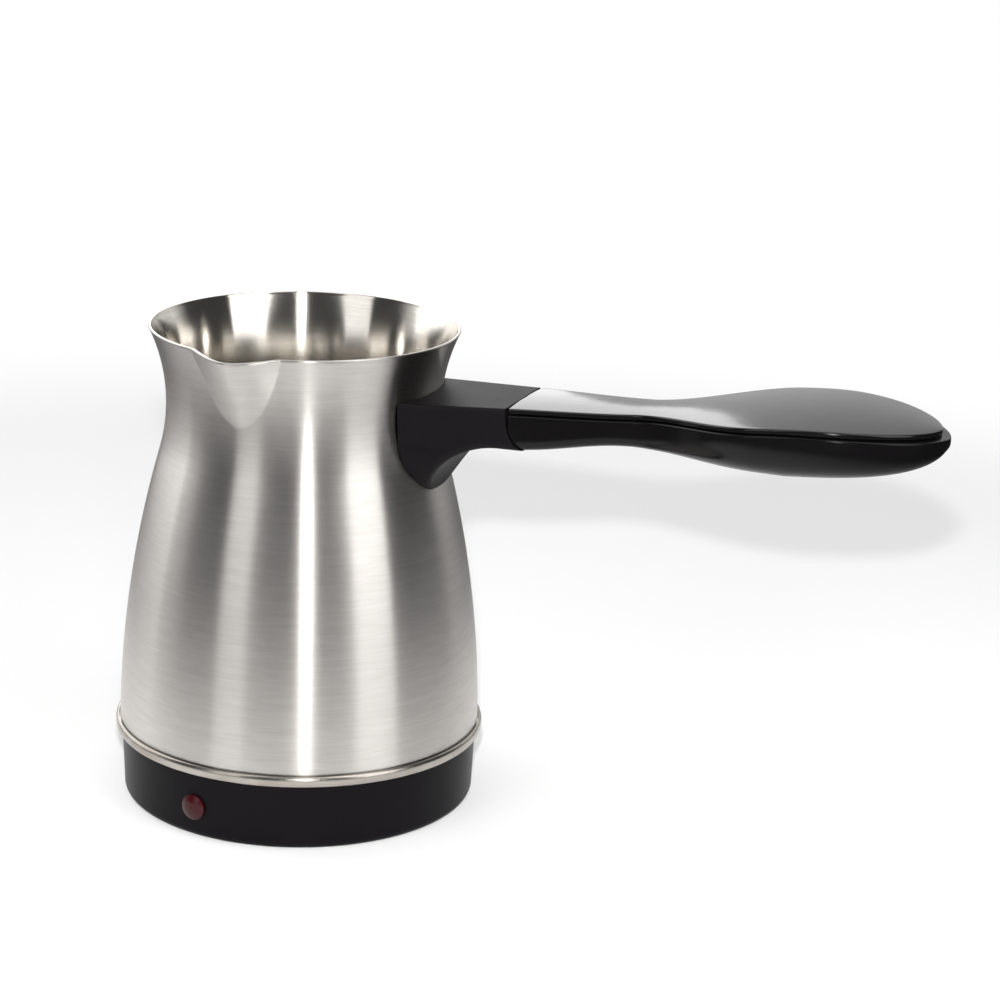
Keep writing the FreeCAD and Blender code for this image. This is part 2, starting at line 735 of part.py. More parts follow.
def neck_x_at(radius, z):
    """Where an arc about the neck's own centre crosses a height."""
    return ("(neck_radius + rim_flare - sqrt((%s) ^ 2 - ((%s) - neck_height) ^ 2))"
            % (radius, z))


def make_bracket_block():
    """The bracket's outside: a side profile with a horn-shaped underside, narrowed towards the
    grip, with a rounded tongue where it meets the vessel."""
    body = new_body("bracket_block")
    back = "(neck_radius - 2 * saddle_wall)"
    low = "(shield_height - shield_radius - 1.5)"
    horn_z = "(seam_bottom - horn_radius)"
    radius, top, turn_in = seam_points("0 - seam_gap / 2")
    side_view = sketch_on(body, "XZ_Plane")
    draw(side_view,
         (back, "bracket_top - 0.3"),
         (back, low),
         ("horn_x - sqrt(horn_radius ^ 2 - (%s - %s) ^ 2)" % (low, horn_z), low),
         ("horn_x", "seam_bottom", "horn_radius", -1),
         (knuckle_x(radius, "seam_bottom"), "seam_bottom"),
         turn_in + (radius, -1),
         (top[0], "seam_top"))
    pad(body, side_view, "2 * foot_half_width + 6")
    taper = "(foot_half_width - seam_half_width) / (seam_x - neck_radius)"
    sides = sketch_on(body, "XY_Plane")
    for side in ("1", "-1"):
        near = "%s * (foot_half_width + 6 * %s)" % (side, taper)
        far = "%s * (seam_half_width - 10 * %s)" % (side, taper)
        draw(sides,
             ("neck_radius - 6", near),
             ("seam_x + 10", far),
             ("seam_x + 10", side + " * 30"),
             ("neck_radius - 6", side + " * 30"))
    cut_through(body, sides)
    foot = sketch_on(body, "YZ_Plane")
    flare = "shield_radius + 2"
    draw(foot,
         ("-30", "shield_height - 30"),
         ("30", "shield_height - 30"),
         ("30", "seam_top + 6"),
         (flare, "seam_top + 6"),
         ("shield_radius", "shield_height"),
         ("0", "shield_height - shield_radius", "shield_radius", -1),
         ("-shield_radius", "shield_height", "shield_radius", -1),
         ("-(%s)" % flare, "seam_top + 6"),
         ("-30", "seam_top + 6"))
    cut_through(body, foot)
    round_edges(body, "bracket_round", long_edges(body)[0])
    round_edges(body, "bracket_low_round", long_edges(body)[1])
    return body


def long_edges(body):
    """The edges along the handle's two sides: those of the top face, and those below."""
    top, low = [], []
    for number, edge in enumerate(body.Shape.Edges, 1):
        reach = edge.BoundBox
        crosswise = 6 < reach.YLength < 20
        if reach.XLength < 6 or crosswise:
            continue
        if reach.ZMin > value("bracket_top") - 1 and abs(reach.YMin) > 8:
            top.append("Edge%d" % number)
        elif reach.ZMax < value("seam_bottom") + 0.1:
            low.append("Edge%d" % number)
    return top, low


def round_edges(body, radius, names):
    tip = body.Tip
    fillet = body.newObject("PartDesign::Fillet", body.Name + "_round")
    fillet.Base = (tip, names)
    bind(fillet, Radius=radius)
    doc.recompute()
    return fillet


def saddle_plate(name, clearance):
    """The welded plate: a strip of the neck's own curve, turned about the vessel's axis."""
    body = new_body(name)
    near = "(rim_flare - 0.05 + %s)" % clearance
    far = "(rim_flare - 0.05 - saddle_wall - %s)" % clearance
    low = "(saddle_bottom - %s)" % clearance
    high = "(saddle_top + %s)" % clearance
    strip = sketch_on(body, "XZ_Plane")
    draw(strip,
         (neck_x_at(near, low), low, near, 1),
         (neck_x_at(far, low), low),
         (neck_x_at(far, high), high, far, -1),
         (neck_x_at(near, high), high))
    revolve(body, strip, "2 * saddle_half_angle + 2 * %s" % clearance)
    return body


def tongue(name, clearance):
    return box(name, ("neck_radius + 0.7", "-tongue_half_width - %s" % clearance,
                      "tongue_bottom - %s" % clearance),
               ("tongue_end - neck_radius - 0.7 + %s" % clearance,
                "2 * tongue_half_width + 2 * %s" % clearance,
                "tongue_thickness + 2 * %s" % clearance))


def screw_tool(name, radius, low, high):
    return cylinder(name, radius, "(%s) - (%s)" % (high, low), ("screw_x", "0", low))


def make_handle_saddle():
    hole = screw_tool("saddle_hole", "screw_radius + 0.15", "screw_floor", "screw_top")
    return less("handle_saddle", joined("saddle_solid", [saddle_plate("saddle_plate", "0"),
                                                         tongue("saddle_tongue", "0")]), [hole])


def make_handle_bracket():
    vessel_tool = new_body("bracket_seat")
    revolve(vessel_tool, vessel_profile(vessel_tool, "(0 - bracket_gap)", "floor_height",
                                        "rim_height"))
    reach = "lug_clearance"
    pocket = box("lug_pocket", ("lug_end - %s" % reach, "-lug_half_width - %s" % reach,
                                "lug_bottom - %s" % reach),
                 ("30", "2 * lug_half_width + 2 * %s" % reach,
                  "lug_top - lug_bottom + 2 * %s" % reach))
    tools = [vessel_tool, pocket, saddle_plate("saddle_recess", "0.2"),
             tongue("tongue_slot", "0.2"),
             screw_tool("screw_hole", "screw_radius + 0.15", "screw_floor - 1", "lug_bottom"),
             screw_tool("head_hole", "screw_head + 0.3", "screw_floor - 12", "screw_floor")]
    return less("handle_bracket", make_bracket_block(), tools)


def make_handle_screw():
    head = screw_tool("screw_head", "screw_head", "screw_floor - screw_head_height", "screw_floor")
    shank = screw_tool("screw_shank", "screw_radius", "screw_floor", "screw_top")
    return joined("handle_screw", [head, shank])


# Hinge

def make_hinge_lug():
    """The cast lug: two jaws round the saddle's tongue, and an eye on the hinge pin."""
    body = new_body("lug_block")
    nose_end = "(bridge_start + bridge_length + 1.2)"
    side_view = sketch_on(body, "XZ_Plane")
    draw(side_view,
         ("lug_end", "lug_top"),
         ("lug_end", "lug_bottom"),
         ("seam_x + 0.7", "lug_bottom"),
         ("pivot_x + lug_eye * 0.5", "pivot_height - lug_eye * 0.86"),
         ("pivot_x - lug_eye * 0.25", "pivot_height + lug_eye * 0.96"),
         (nose_end, "lug_nose_top"),
         ("seam_x - 0.4", "lug_nose_top"),
         ("seam_x - 0.4", "lug_top"))
    pad(body, side_view, "2 * lug_half_width")
    width = "2 * lug_half_width"
    eye = cylinder("lug_eye", "lug_eye", width, ("pivot_x", "-lug_half_width", "pivot_height"),
                   Vector(0, 1, 0))
    bore = cylinder("lug_bore", "pin_radius + pin_clearance", "2 * " + width,
                    ("pivot_x", "-" + width, "pivot_height"), Vector(0, 1, 0))
    slot = box("jaw_slot", ("lug_end - 1", "-" + width, "tongue_bottom - 0.15"),
               ("tongue_end - lug_end + 1.5", "2 * " + width, "tongue_thickness + 0.3"))
    screw = screw_tool("lug_screw_hole", "screw_radius + 0.05", "lug_bottom - 1",
                       "screw_top + 0.1")
    return less("hinge_lug", joined("lug_solid", [body, eye]), [bore, slot, screw])


def make_hinge_pin():
    return cylinder("hinge_pin", "pin_radius", "2 * pin_half_length",
                    ("pivot_x", "-pin_half_length", "pivot_height"), Vector(0, 1, 0))


def make_hinge_washers():
    """A friction washer on each side of the lug."""
    washers = []
    start = "(lug_half_width + (fork_gap - lug_half_width - washer_thickness) / 2)"
    for side in (start, "(0 - %s - washer_thickness)" % start):
        disc = cylinder("washer", "lug_eye - 0.05", "washer_thickness",
                        ("pivot_x", side, "pivot_height"), Vector(0, 1, 0))
        bore = cylinder("washer_bore", "pin_radius + pin_clearance", "washer_thickness + 2",
                        ("pivot_x", side + " - 1", "pivot_height"), Vector(0, 1, 0))
        washers.append(less("hinge_washer", disc, [bore]))
    return grouped("hinge_washers", washers)


# Grip

SHANK_SHARES = ("-0.1", "0.12", "0.34", "0.56", "0.78")
SHOULDER_SHARES = ("0", "0.2", "0.4", "0.6", "0.8", "1")
BOWL_SHARES = ("0.07", "0.26", "0.45", "0.62", "0.77", "0.88", "0.96", "0.995")


def blend(share):
    """A smooth step from 0 to 1."""
    return "((1 - cos(180 * %s)) / 2)" % share


def between(first, last, share):
    return "(%s + (%s - %s) * %s)" % (first, last, first, share)


def shank_station(share):
    """A station of the straight part, from the seam to the neck: place along the handle, half
    width, height of the top face's edge, height of the underside and corner radius."""
    share = "(%s)" % share
    return (between("seam_x", "neck_x", share),
            between("seam_half_width", "neck_half_width", share),
            "(seam_top + (neck_top - seam_top) * sin(90 * %s))" % share,
            between("seam_bottom", "neck_bottom", blend(share)), "neck_corner")


def crest(x):
    """The top face rises as a quarter of a sine wave to its crest, and falls a little after."""
    return ("(neck_top + (paddle_top - neck_top) * sin(90 * (%s - neck_x)"
            " / (crest_x - neck_x)))" % x)


def shoulder_station(share):
    """A station where the neck widens into the paddle."""
    x = between("neck_x", "paddle_x", share)
    return (x, between("neck_half_width", "paddle_half_width", blend(share)), crest(x),
            between("neck_bottom", "belly_bottom", share),
            between("neck_corner", "paddle_corner", blend(share)))


def bowl_station(share, side_inset="0", tip_inset="0"):
    """A station of the paddle's rounded end, which closes as a flattened ellipse."""
    x = between("belly_x", "(tip_x - %s)" % tip_inset, share)
    close = "(1 - %s ^ 2) ^ 0.6" % share
    depth = "(%s - cover_edge - belly_bottom) * (1 - %s ^ 2) ^ 0.4" % (crest("belly_x"), share)
    return (x, "((paddle_half_width - %s) * %s + %s)" % (side_inset, close, side_inset), crest(x),
            "(%s - cover_edge - %s)" % (crest(x), depth), "(paddle_corner * %s)" % close)


def shell_sections(body, stations, wall="0", above="0"):
    """Boat sections: level top, upright sides, round bilges and a level bottom."""
    sections = []
    for x, half, top, bottom, corner in stations:
        half = "(%s - %s)" % (half, wall)
        bilge = "(%s - %s)" % (corner, wall)
        floor = "(%s + %s)" % (bottom, wall)
        edge = "(%s - cover_edge + %s)" % (top, above)
        sections.append(draw(
            sketch_on(body, "YZ_Plane", x),
            ("-" + half, edge),
            ("-" + half, "%s + %s" % (floor, bilge)),
            ("-(%s - %s)" % (half, bilge), floor, bilge, 1),
            ("%s - %s" % (half, bilge), floor),
            (half, "%s + %s" % (floor, bilge), bilge, 1),
            (half, edge)))
    return sections


def cover_sections(body, stations, inset, low, high, crowned):
    """Sections of the top cover between two heights above the parting line."""
    sections = []
    for x, half, top, _, _ in stations:
        half = "(%s - %s)" % (half, inset)
        bottom = "(%s - cover_edge + %s)" % (top, low)
        edge = "(%s - cover_edge + %s)" % (top, high)
        last = ("-" + half, edge)
        if crowned:
            last += ("%s * (1 + cover_crown ^ 2) / (2 * cover_crown)" % half, 1)
        sections.append(draw(
            sketch_on(body, "YZ_Plane", x), ("-" + half, bottom), (half, bottom), (half, edge),
            last))
    return sections


def cut_seam(body):
    """Cut the grip's end to the knuckle's outline."""
    radius, top, turn_in = seam_points("seam_gap / 2")
    foot = "pivot_height - knuckle_radius + 0.7"
    sketch = sketch_on(body, "XZ_Plane")
    draw(sketch,
         ("seam_x - 20", top[1]),
         ("seam_x - 20", "seam_bottom - 10"),
         (knuckle_x(radius, foot), "seam_bottom - 10"),
         (knuckle_x(radius, foot), foot),
         turn_in + (radius, -1),
         top)
    return cut_through(body, sketch)


def grip_screw_places():
    return "grip_screw_one", "grip_screw_two"


def make_grip_lower_shell():
    """A boat-shaped shell: solid cheeks that fork round the lug, then a hollow hull with two
    screw bosses."""
    hull = new_body("grip_hull")
    shank = [shank_station(share) for share in SHANK_SHARES]
    shoulder = [shoulder_station(share) for share in SHOULDER_SHARES]
    bowl = [bowl_station(share) for share in BOWL_SHARES]
    loft(hull, shell_sections(hull, shank + shoulder + bowl))
    inner_start = "(fork_slot_end + 3 - seam_x) / (neck_x - seam_x)"
    inner = [shank_station(inner_start), shank[-1]] + shoulder + bowl[:5]
    loft(hull, shell_sections(hull, inner, "grip_wall", "3"), subtract=True)
    cut_seam(hull)
    additions = [box("stop_bridge", ("bridge_start", "-fork_gap - 0.5", "lug_nose_top + 0.15"),
                     ("bridge_length", "2 * fork_gap + 1", "bridge_thickness"))]
    fork = box("fork_slot", ("seam_x - fork_gap", "-fork_gap", "seam_bottom - fork_gap"),
               ("fork_slot_end - seam_x + fork_gap", "2 * fork_gap",
                "seam_top - seam_bottom + 2 * fork_gap"))
    seat_radius = "(pin_radius + 0.03)"
    seat_half = "(pin_half_length + 0.1)"
    tools = [cylinder("pin_seat", seat_radius, "2 * " + seat_half,
                      ("pivot_x", "-" + seat_half, "pivot_height"), Vector(0, 1, 0)),
             box("pin_slot", ("pivot_x - " + seat_radius, "-" + seat_half, "pivot_height"),
                 ("2 * " + seat_radius, "2 * " + seat_half, "4 * pin_radius"))]
    for place in grip_screw_places():
        additions.append(cylinder("shell_boss", "boss_outer", "boss_top - neck_bottom - grip_wall",
                                  (place, "0", "neck_bottom + grip_wall")))
        tools.append(cylinder("boss_bore", "grip_screw_radius + 0.2", "boss_top - seam_bottom",
                              (place, "0", "seam_bottom")))
        tools.append(cylinder("boss_recess", "grip_head + 0.2",
                              "boss_top - boss_floor - seam_bottom", (place, "0", "seam_bottom")))
    forked = less("forked_hull", hull, [fork])
    return less("grip_lower_shell", joined("shell_solid", [forked] + additions), tools)


def make_grip_top_cover():
    """The glossy cover: a crowned plate whose step seats inside the lower shell's rim, and two
    bosses that take the screws."""
    plate = new_body("cover_plate")
    shank = [shank_station(share) for share in SHANK_SHARES]
    shoulder = [shoulder_station(share) for share in SHOULDER_SHARES]
    bowl = [bowl_station(share, "cover_inset", "cover_tip_inset") for share in BOWL_SHARES]
    loft(plate, cover_sections(plate, shank + shoulder + bowl, "cover_inset", "cover_groove",
                               "cover_edge", True))
    cut_seam(plate)
    step = new_body("cover_step")
    loft(step, cover_sections(step, shank + shoulder + bowl[:6], "(cover_inset + 0.9)", "0.15",
                              "(cover_groove + 0.3)", False))
    cut_seam(step)
    parts = [plate, step]
    tools = [box("lug_relief", ("seam_x - fork_gap", "-fork_gap", "pivot_height - fork_gap"),
                 ("fork_slot_end - seam_x + fork_gap", "2 * fork_gap",
                  "fork_gap + lug_eye + lug_clearance"))]
    for place in grip_screw_places():
        low = "(boss_top + boss_gap)"
        parts.append(cylinder("cover_boss", "boss_inner",
                              "%s - cover_edge + cover_groove + 0.3 - %s" % (crest(place), low),
                              (place, "0", low)))
        tools.append(cylinder("boss_pilot", "grip_screw_radius + 0.03", "pilot_depth",
                              (place, "0", low + " - 5 * boss_gap")))
    return less("grip_top_cover", joined("cover_solid", parts), tools)


def make_grip_screws():
    screws = []
    for place in grip_screw_places():
        seat = "boss_top - boss_floor"
        head = cylinder("grip_head", "grip_head", "grip_head_height",
                        (place, "0", seat + " - grip_head_height"))
        shank = cylinder("grip_shank", "grip_screw_radius", "grip_screw_length",
                         (place, "0", seat))
        screws.append(joined("grip_screw", [head, shank]))
    return grouped("grip_screws", screws)


# The parts, by the name of each node

MAKERS = {
    "vessel": make_vessel,
    "trim_ring": make_trim_ring,
    "base_shell": make_base_shell,
    "bottom_cover": make_bottom_cover,
    "bottom_screws": make_bottom_screws,
    "base_seal": make_base_seal,
    "heat_plate": make_heat_plate,
    "heating_element": make_heating_element,
    "element_pins": make_element_pins,
    "mounting_studs": make_mounting_studs,
    "stud_nuts": make_stud_nuts,
    "earth_tag": make_earth_tag,
    "thermostat": make_thermostat,
    "thermal_fuse": make_thermal_fuse,
    "lamp_lens": make_lamp_lens,
    "neon_lamp": make_neon_lamp,
    "cord_gland": make_cord_gland,
    "terminal_block": make_terminal_block,
    "handle_saddle": make_handle_saddle,
    "handle_bracket": make_handle_bracket,
    "handle_screw": make_handle_screw,
    "hinge_lug": make_hinge_lug,
    "hinge_pin": make_hinge_pin,
    "hinge_washers": make_hinge_washers,
    "grip_lower_shell": make_grip_lower_shell,
    "grip_top_cover": make_grip_top_cover,
    "grip_screws": make_grip_screws,
}


def build():
    """Make every part, check it, and write it to its own file."""
    fill_sheet()
    parts = {}
    for name, maker in MAKERS.items():
        parts[name] = maker()
        parts[name].Label = name
    doc.recompute()
    for thing in doc.Objects:
        if "Invalid" in thing.State or "Error" in thing.State:
            raise RuntimeError(thing.Name + " is " + ", ".join(thing.State))
    for name, part in parts.items():
        if part.Shape.isNull() or not part.Shape.isValid():
            raise RuntimeError(name + " has no valid shape")
    os.makedirs("parts", exist_ok=True)
    for name, part in parts.items():
        part.Shape.exportStep("parts/%s.step" % name)
        print("%-18s %10.1f mm3, %d solid" % (name, part.Shape.Volume, len(part.Shape.Solids)))


build()
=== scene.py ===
import itertools
import logging
import math
from dataclasses import dataclass
from enum import Enum
from typing import Callable, Sequence

import bpy
import numpy as np
from mathutils import Matrix, Vector


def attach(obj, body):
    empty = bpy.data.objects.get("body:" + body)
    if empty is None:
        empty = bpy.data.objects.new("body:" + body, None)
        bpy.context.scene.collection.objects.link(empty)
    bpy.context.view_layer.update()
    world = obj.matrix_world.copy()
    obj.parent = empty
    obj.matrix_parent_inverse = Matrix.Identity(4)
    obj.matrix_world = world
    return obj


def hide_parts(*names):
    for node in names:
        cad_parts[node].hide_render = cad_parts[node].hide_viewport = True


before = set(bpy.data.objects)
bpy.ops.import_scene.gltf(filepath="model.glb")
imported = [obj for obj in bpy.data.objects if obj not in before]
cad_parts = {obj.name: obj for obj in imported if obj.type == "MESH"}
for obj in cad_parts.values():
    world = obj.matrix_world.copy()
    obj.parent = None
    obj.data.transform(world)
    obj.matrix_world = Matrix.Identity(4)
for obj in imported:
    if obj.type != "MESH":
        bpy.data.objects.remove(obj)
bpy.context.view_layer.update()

log = logging.getLogger("coffee_pot")
MM = 0.001
Face = tuple[int, ...]


# Forms. Lengths here are in millimetres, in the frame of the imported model.

@dataclass(frozen=True)
class VesselForm:
    """The waisted vessel: two tangent arcs turned about Z, with a lip pressed into the mouth."""

    rim_height: float = 131.0
    rim_flare: float = 50.0
    rim_round: float = 0.35
    neck_radius: float = 36.95
    neck_height: float = 109.5
    belly_curve: float = 296.0
    foot_radius: float = 49.4
    floor_height: float = 19.6
    foot_corner: float = 2.2
    wall: float = 0.7
    # Above this height the rings follow the mouth's edge.
    level_top: float = 98.0
    lip_angle: float = -92.0
    lip_tip_height: float = 111.0
    lip_reach: float = 4.9
    lip_half_width: float = 11.9
    lip_half_turn: float = 27.0
    lip_dip_start: float = 40.45
    lip_dip_angle: float = 12.0
    # How much the conic's weight grows, and how far past the plain wall it is drawn.
    lip_sharpness: float = 1.6
    lip_overlap: float = 1.2
    # Shares of the wall that the inner side loses at its flanks and at its nose.
    lip_flank_inset: float = 1.15
    lip_nose_inset: float = 0.25
    lip_crease: float = 0.12

    def neck_centre(self) -> np.ndarray:
        """Give the centre of the neck's arc, as radius and height."""
        return np.array([self.neck_radius + self.rim_flare, self.neck_height])

    def belly_centre(self) -> np.ndarray:
        """Find the centre of the belly's arc.

        It lies one belly radius from the foot, and the sum of both radii from the neck's
        centre, so that the two arcs touch.

        Returns:
            Its radius and height.
        """
        foot = np.array([self.foot_radius, self.floor_height + self.foot_corner])
        gap = self.neck_centre() - foot
        span = np.hypot(*gap)
        near, far = self.belly_curve, self.belly_curve + self.rim_flare
        along = (near ** 2 - far ** 2 + span ** 2) / (2 * span)
        across = math.sqrt(near ** 2 - along ** 2)
        side = np.array([-gap[1], gap[0]]) / span
        return foot + gap / span * along + side * across

    def tangent_height(self) -> float:
        """Work out where the belly's arc passes into the neck's arc.

        Returns:
            The height of the point, on the line between the two centres.
        """
        centre = self.belly_centre()
        reach = self.neck_centre() - centre
        return float(centre[1] + reach[1] / np.hypot(*reach) * self.belly_curve)

    def neck(self, height: np.ndarray, inset: float) -> np.ndarray:
        """Give the radius of the neck's arc: its centre's radius less the half chord.

        Args:
            height: Heights at which it is wanted.
            inset: How far the surface lies inside the outer one.

        Returns:
            One radius for each height.
        """
        flare = self.rim_flare + inset
        rise = np.clip(height - self.neck_height, -flare, flare)
        return self.neck_radius + self.rim_flare - np.sqrt(flare ** 2 - rise ** 2)

    def radius(self, height: np.ndarray, inset: float) -> np.ndarray:
        """Give the radius of the turned wall above its foot corner: belly below, neck above.

        Args:
            height: Heights at which it is wanted.
            inset: How far the surface lies inside the outer one.

        Returns:
            One radius for each height.
        """
        centre = self.belly_centre()
        curve = self.belly_curve - inset
        rise = np.clip(height - centre[1], -curve, curve)
        belly = centre[0] + np.sqrt(curve ** 2 - rise ** 2)
        return np.where(height < self.tangent_height(), belly, self.neck(height, inset))

    def lip_table(self, inset: float, levels: np.ndarray, turns: np.ndarray) -> np.ndarray:
        """Tabulate how far the lip's level sections reach from the vessel's axis.

        Each section is a conic from flank to flank. Its nose moves out, and its weight grows,
        with the height above the lip's tip; its half width grows with the root of that height.

        Args:
            inset: How far the surface lies inside the outer one.
            levels: Heights of the rows.
            turns: Angles from the lip's own direction, in radians, for the columns.

        Returns:
            The reach, or 0 where a section has nothing.
        """
        share = np.clip((levels - self.lip_tip_height) / (self.rim_height - self.lip_tip_height),
                        1e-4, None)
        neck = self.neck(levels, inset)
        half = np.maximum(self.lip_half_width * np.sqrt(share) - inset * self.lip_flank_inset,
                          0.02)
        nose = neck + self.lip_reach * share - inset * self.lip_nose_inset
        side = nose + (np.sqrt(neck ** 2 - half ** 2) - nose) * self.lip_overlap
        half = half * self.lip_overlap
        weight = 1 + self.lip_sharpness * share
        control = ((1 + weight) * nose - side) / weight
        step = np.linspace(0, 1, 161)
        start, end = (1 - step) ** 2, step ** 2
        table = np.zeros((len(levels), len(turns)))
        for row in range(len(levels)):
            middle = 2 * weight[row] * step * (1 - step)
            total = start + end + middle
            out = ((start + end) * side[row] + middle * control[row]) / total
            across = half[row] * (end - start) / total
            table[row] = np.interp(turns, np.arctan2(across, out), np.hypot(out, across),
                                   left=0.0, right=0.0)
        return table


@dataclass(frozen=True)
class BeadForm:
    """The rolled bead's half section: a flange, an upright neck and a full round outside."""

    bore: float = 44.0
    fit: float = 0.25
    outer: float = 50.6
    low: float = 18.4
    high: float = 21.4
    root: float = 0.1
    fullness: float = 0.7
    flange: float = 1.0
    seat_gap: float = 0.01
    neck_rise: float = 0.02

    def profile(self, vessel: VesselForm) -> list[tuple[float, float]]:
        """Draw the section.

        Args:
            vessel: The vessel that stands in the bead.

        Returns:
            Radius and height of each corner; the round is a half circle with fuller flanks.
        """
        inner, floor = vessel.foot_radius + self.fit, vessel.floor_height
        start = inner + self.root
        depth, half = self.outer - start, (self.high - self.low) / 2
        middle = self.low + half
        nose = [(start + depth * math.cos(turn) ** self.fullness,
                 middle + half * math.sin(turn)) for turn in np.linspace(-np.pi / 2, np.pi / 2, 15)]
        return [(self.bore, floor - self.flange), (inner, floor - self.flange), *nose,
                (inner, floor + self.neck_rise), (self.bore, floor - self.seat_gap)]


@dataclass(frozen=True)
class GripForm:
    """The grip: a straight shank from the seam, a neck, and a paddle with a rounded end."""

    seam_x: float = 62.8
    seam_lead: float = 8.0
    seam_half_width: float = 13.5
    seam_top: float = 118.4
    seam_bottom: float = 107.3
    neck_x: float = 96.0
    neck_half_width: float = 9.8
    neck_top: float = 120.1
    neck_bottom: float = 111.2
    paddle_x: float = 132.0
    belly_x: float = 138.0
    crest_x: float = 148.0
    paddle_half_width: float = 24.2
    paddle_top: float = 125.4
    belly_bottom: float = 111.3
    tip_x: float = 175.4
    # Slopes of the top face's edge at the seam, the neck, the crest and the tip.
    top_slopes: tuple[float, ...] = (0.055, 0.085, 0.0, -0.118)
    # Powers that close the plan and the keel towards the tip: the lower, the blunter.
    plan_roundness: float = 0.6
    keel_roundness: float = 0.4
    neck_corner: float = 3.0
    paddle_corner: float = 9.6
    shell_edge: float = 0.4
    cover_edge: float = 1.7
    cover_groove: float = 0.5
    cover_inset: float = 0.6
    cover_tip_inset: float = 2.2
    cover_round: float = 0.5
    cover_crown: float = 0.035
    pivot_x: float = 73.0
    pivot_height: float = 115.5
    pin_hole_radius: float = 1.55
    pin_hole_half_length: float = 11.1
    knuckle_radius: float = 9.6
    knuckle_cut: float = 0.7
    # Length over which the sections turn from the seam's face to upright.
    seam_draw: float = 18.0
    end_round: float = 0.35
    slot_half_width: float = 5.6
    slot_end: float = 78.5
    bridge_bottom: float = 115.75
    bridge_end: float = 66.6
    screw_places: tuple[float, float] = (106.0, 150.0)
    screw_recess: float = 3.1
    recess_depth: float = 114.4

    @property
    def cover_tip(self) -> float:
        """Give the place where the top cover ends."""
        return self.tip_x - self.cover_tip_inset

    def shank(self, x: np.ndarray) -> np.ndarray:
        """Give the share of the way from the seam to the neck."""
        return np.clip((x - self.seam_x) / (self.neck_x - self.seam_x), -0.2, 1)

    def shoulder(self, x: np.ndarray) -> np.ndarray:
        """Give the share of the way from the neck to the full width of the paddle."""
        return np.clip((x - self.neck_x) / (self.paddle_x - self.neck_x), 0, 1)

    def bowl(self, x: np.ndarray, tip: float) -> np.ndarray:
        """Give the share of the way from the belly to the tip."""
        return np.clip((x - self.belly_x) / (tip - self.belly_x), 0, 1)

    def tip_top(self) -> float:
        """Give the height of the top face at the tip, past the crest of a sine line."""
        turn = math.pi / 2 * (self.tip_x - self.neck_x) / (self.crest_x - self.neck_x)
        return self.neck_top + (self.paddle_top - self.neck_top) * math.sin(turn)

    def top(self, x: np.ndarray) -> np.ndarray:
        """Give the height of the top face's edge: cubics that share their slopes at the knots.

        Args:
            x: Places along the grip.

        Returns:
            One height for each place.
        """
        knots = np.array([self.seam_x, self.neck_x, self.crest_x, self.tip_x])
        heights = np.array([self.seam_top, self.neck_top, self.paddle_top, self.tip_top()])
        slopes = np.array(self.top_slopes)
        held = np.clip(x, self.seam_x - self.seam_lead, self.tip_x)
        part = np.clip(np.searchsorted(knots, held, side="right") - 1, 0, len(knots) - 2)
        run = knots[part + 1] - knots[part]
        t = (held - knots[part]) / run
        return (heights[part] * (1 + 2 * t) * (1 - t) ** 2 + slopes[part] * run * t * (1 - t) ** 2
                + heights[part + 1] * t ** 2 * (3 - 2 * t)
                - slopes[part + 1] * run * t ** 2 * (1 - t))

    def half_width(self, x: np.ndarray, tip: float, inset: float) -> np.ndarray:
        """Give half the width along the grip: a taper, a cosine widening and a rounded end.

        Args:
            x: Places along the grip.
            tip: Where this shell ends.
            inset: How far its side lies inside the lower shell's.

        Returns:
            One half width for each place, 0 at the tip.
        """
        shank = self.seam_half_width + (self.neck_half_width - self.seam_half_width) \
            * self.shank(x)
        widening = (self.paddle_half_width - self.neck_half_width) * cosine(self.shoulder(x))
        close = (1 - self.bowl(x, tip) ** 2) ** self.plan_roundness
        return (shank + widening - inset) * close

    def bottom(self, x: np.ndarray) -> np.ndarray:
        """Give the height of the underside: it rises to the neck, then closes up at the tip.

        Args:
            x: Places along the grip.

        Returns:
            One height for each place.
        """
        shank = self.seam_bottom + (self.neck_bottom - self.seam_bottom) * cosine(
            np.clip(self.shank(x), 0, 1))
        flat = shank + (self.belly_bottom - self.neck_bottom) * self.shoulder(x)
        parting = self.top(x) - self.cover_edge
        deep = self.top(np.array([self.belly_x]))[0] - self.cover_edge - self.belly_bottom
        close = (1 - self.bowl(x, self.tip_x) ** 2) ** self.keel_roundness
        return np.where(x < self.belly_x, flat, parting - deep * close)

    def corner(self, x: np.ndarray) -> np.ndarray:
        """Give the radius of the lower corners, which grows along the shoulder.

        Args:
            x: Places along the grip.

        Returns:
            One radius for each place, 0 at the tip.
        """
        grown = self.neck_corner + (self.paddle_corner - self.neck_corner) * cosine(
            self.shoulder(x))
        return grown * (1 - self.bowl(x, self.tip_x) ** 2) ** self.plan_roundness

    def seam(self, height: np.ndarray) -> np.ndarray:
        """Give where the seam's face lies: upright above, and round about the pivot below.

        Args:
            height: Heights at which it is wanted.

        Returns:
            One place along the grip for each height.
        """
        drop = np.clip(self.pivot_height - height, 1.0, self.knuckle_radius - self.knuckle_cut)
        return self.pivot_x - np.sqrt(self.knuckle_radius ** 2 - drop ** 2)


def cosine(share: np.ndarray) -> np.ndarray:
    """Blend smoothly from 0 to 1.

    Args:
        share: How far along, from 0 to 1.

    Returns:
        The blended share.
    """
    return (1 - np.cos(np.pi * share)) / 2


# Mesh building

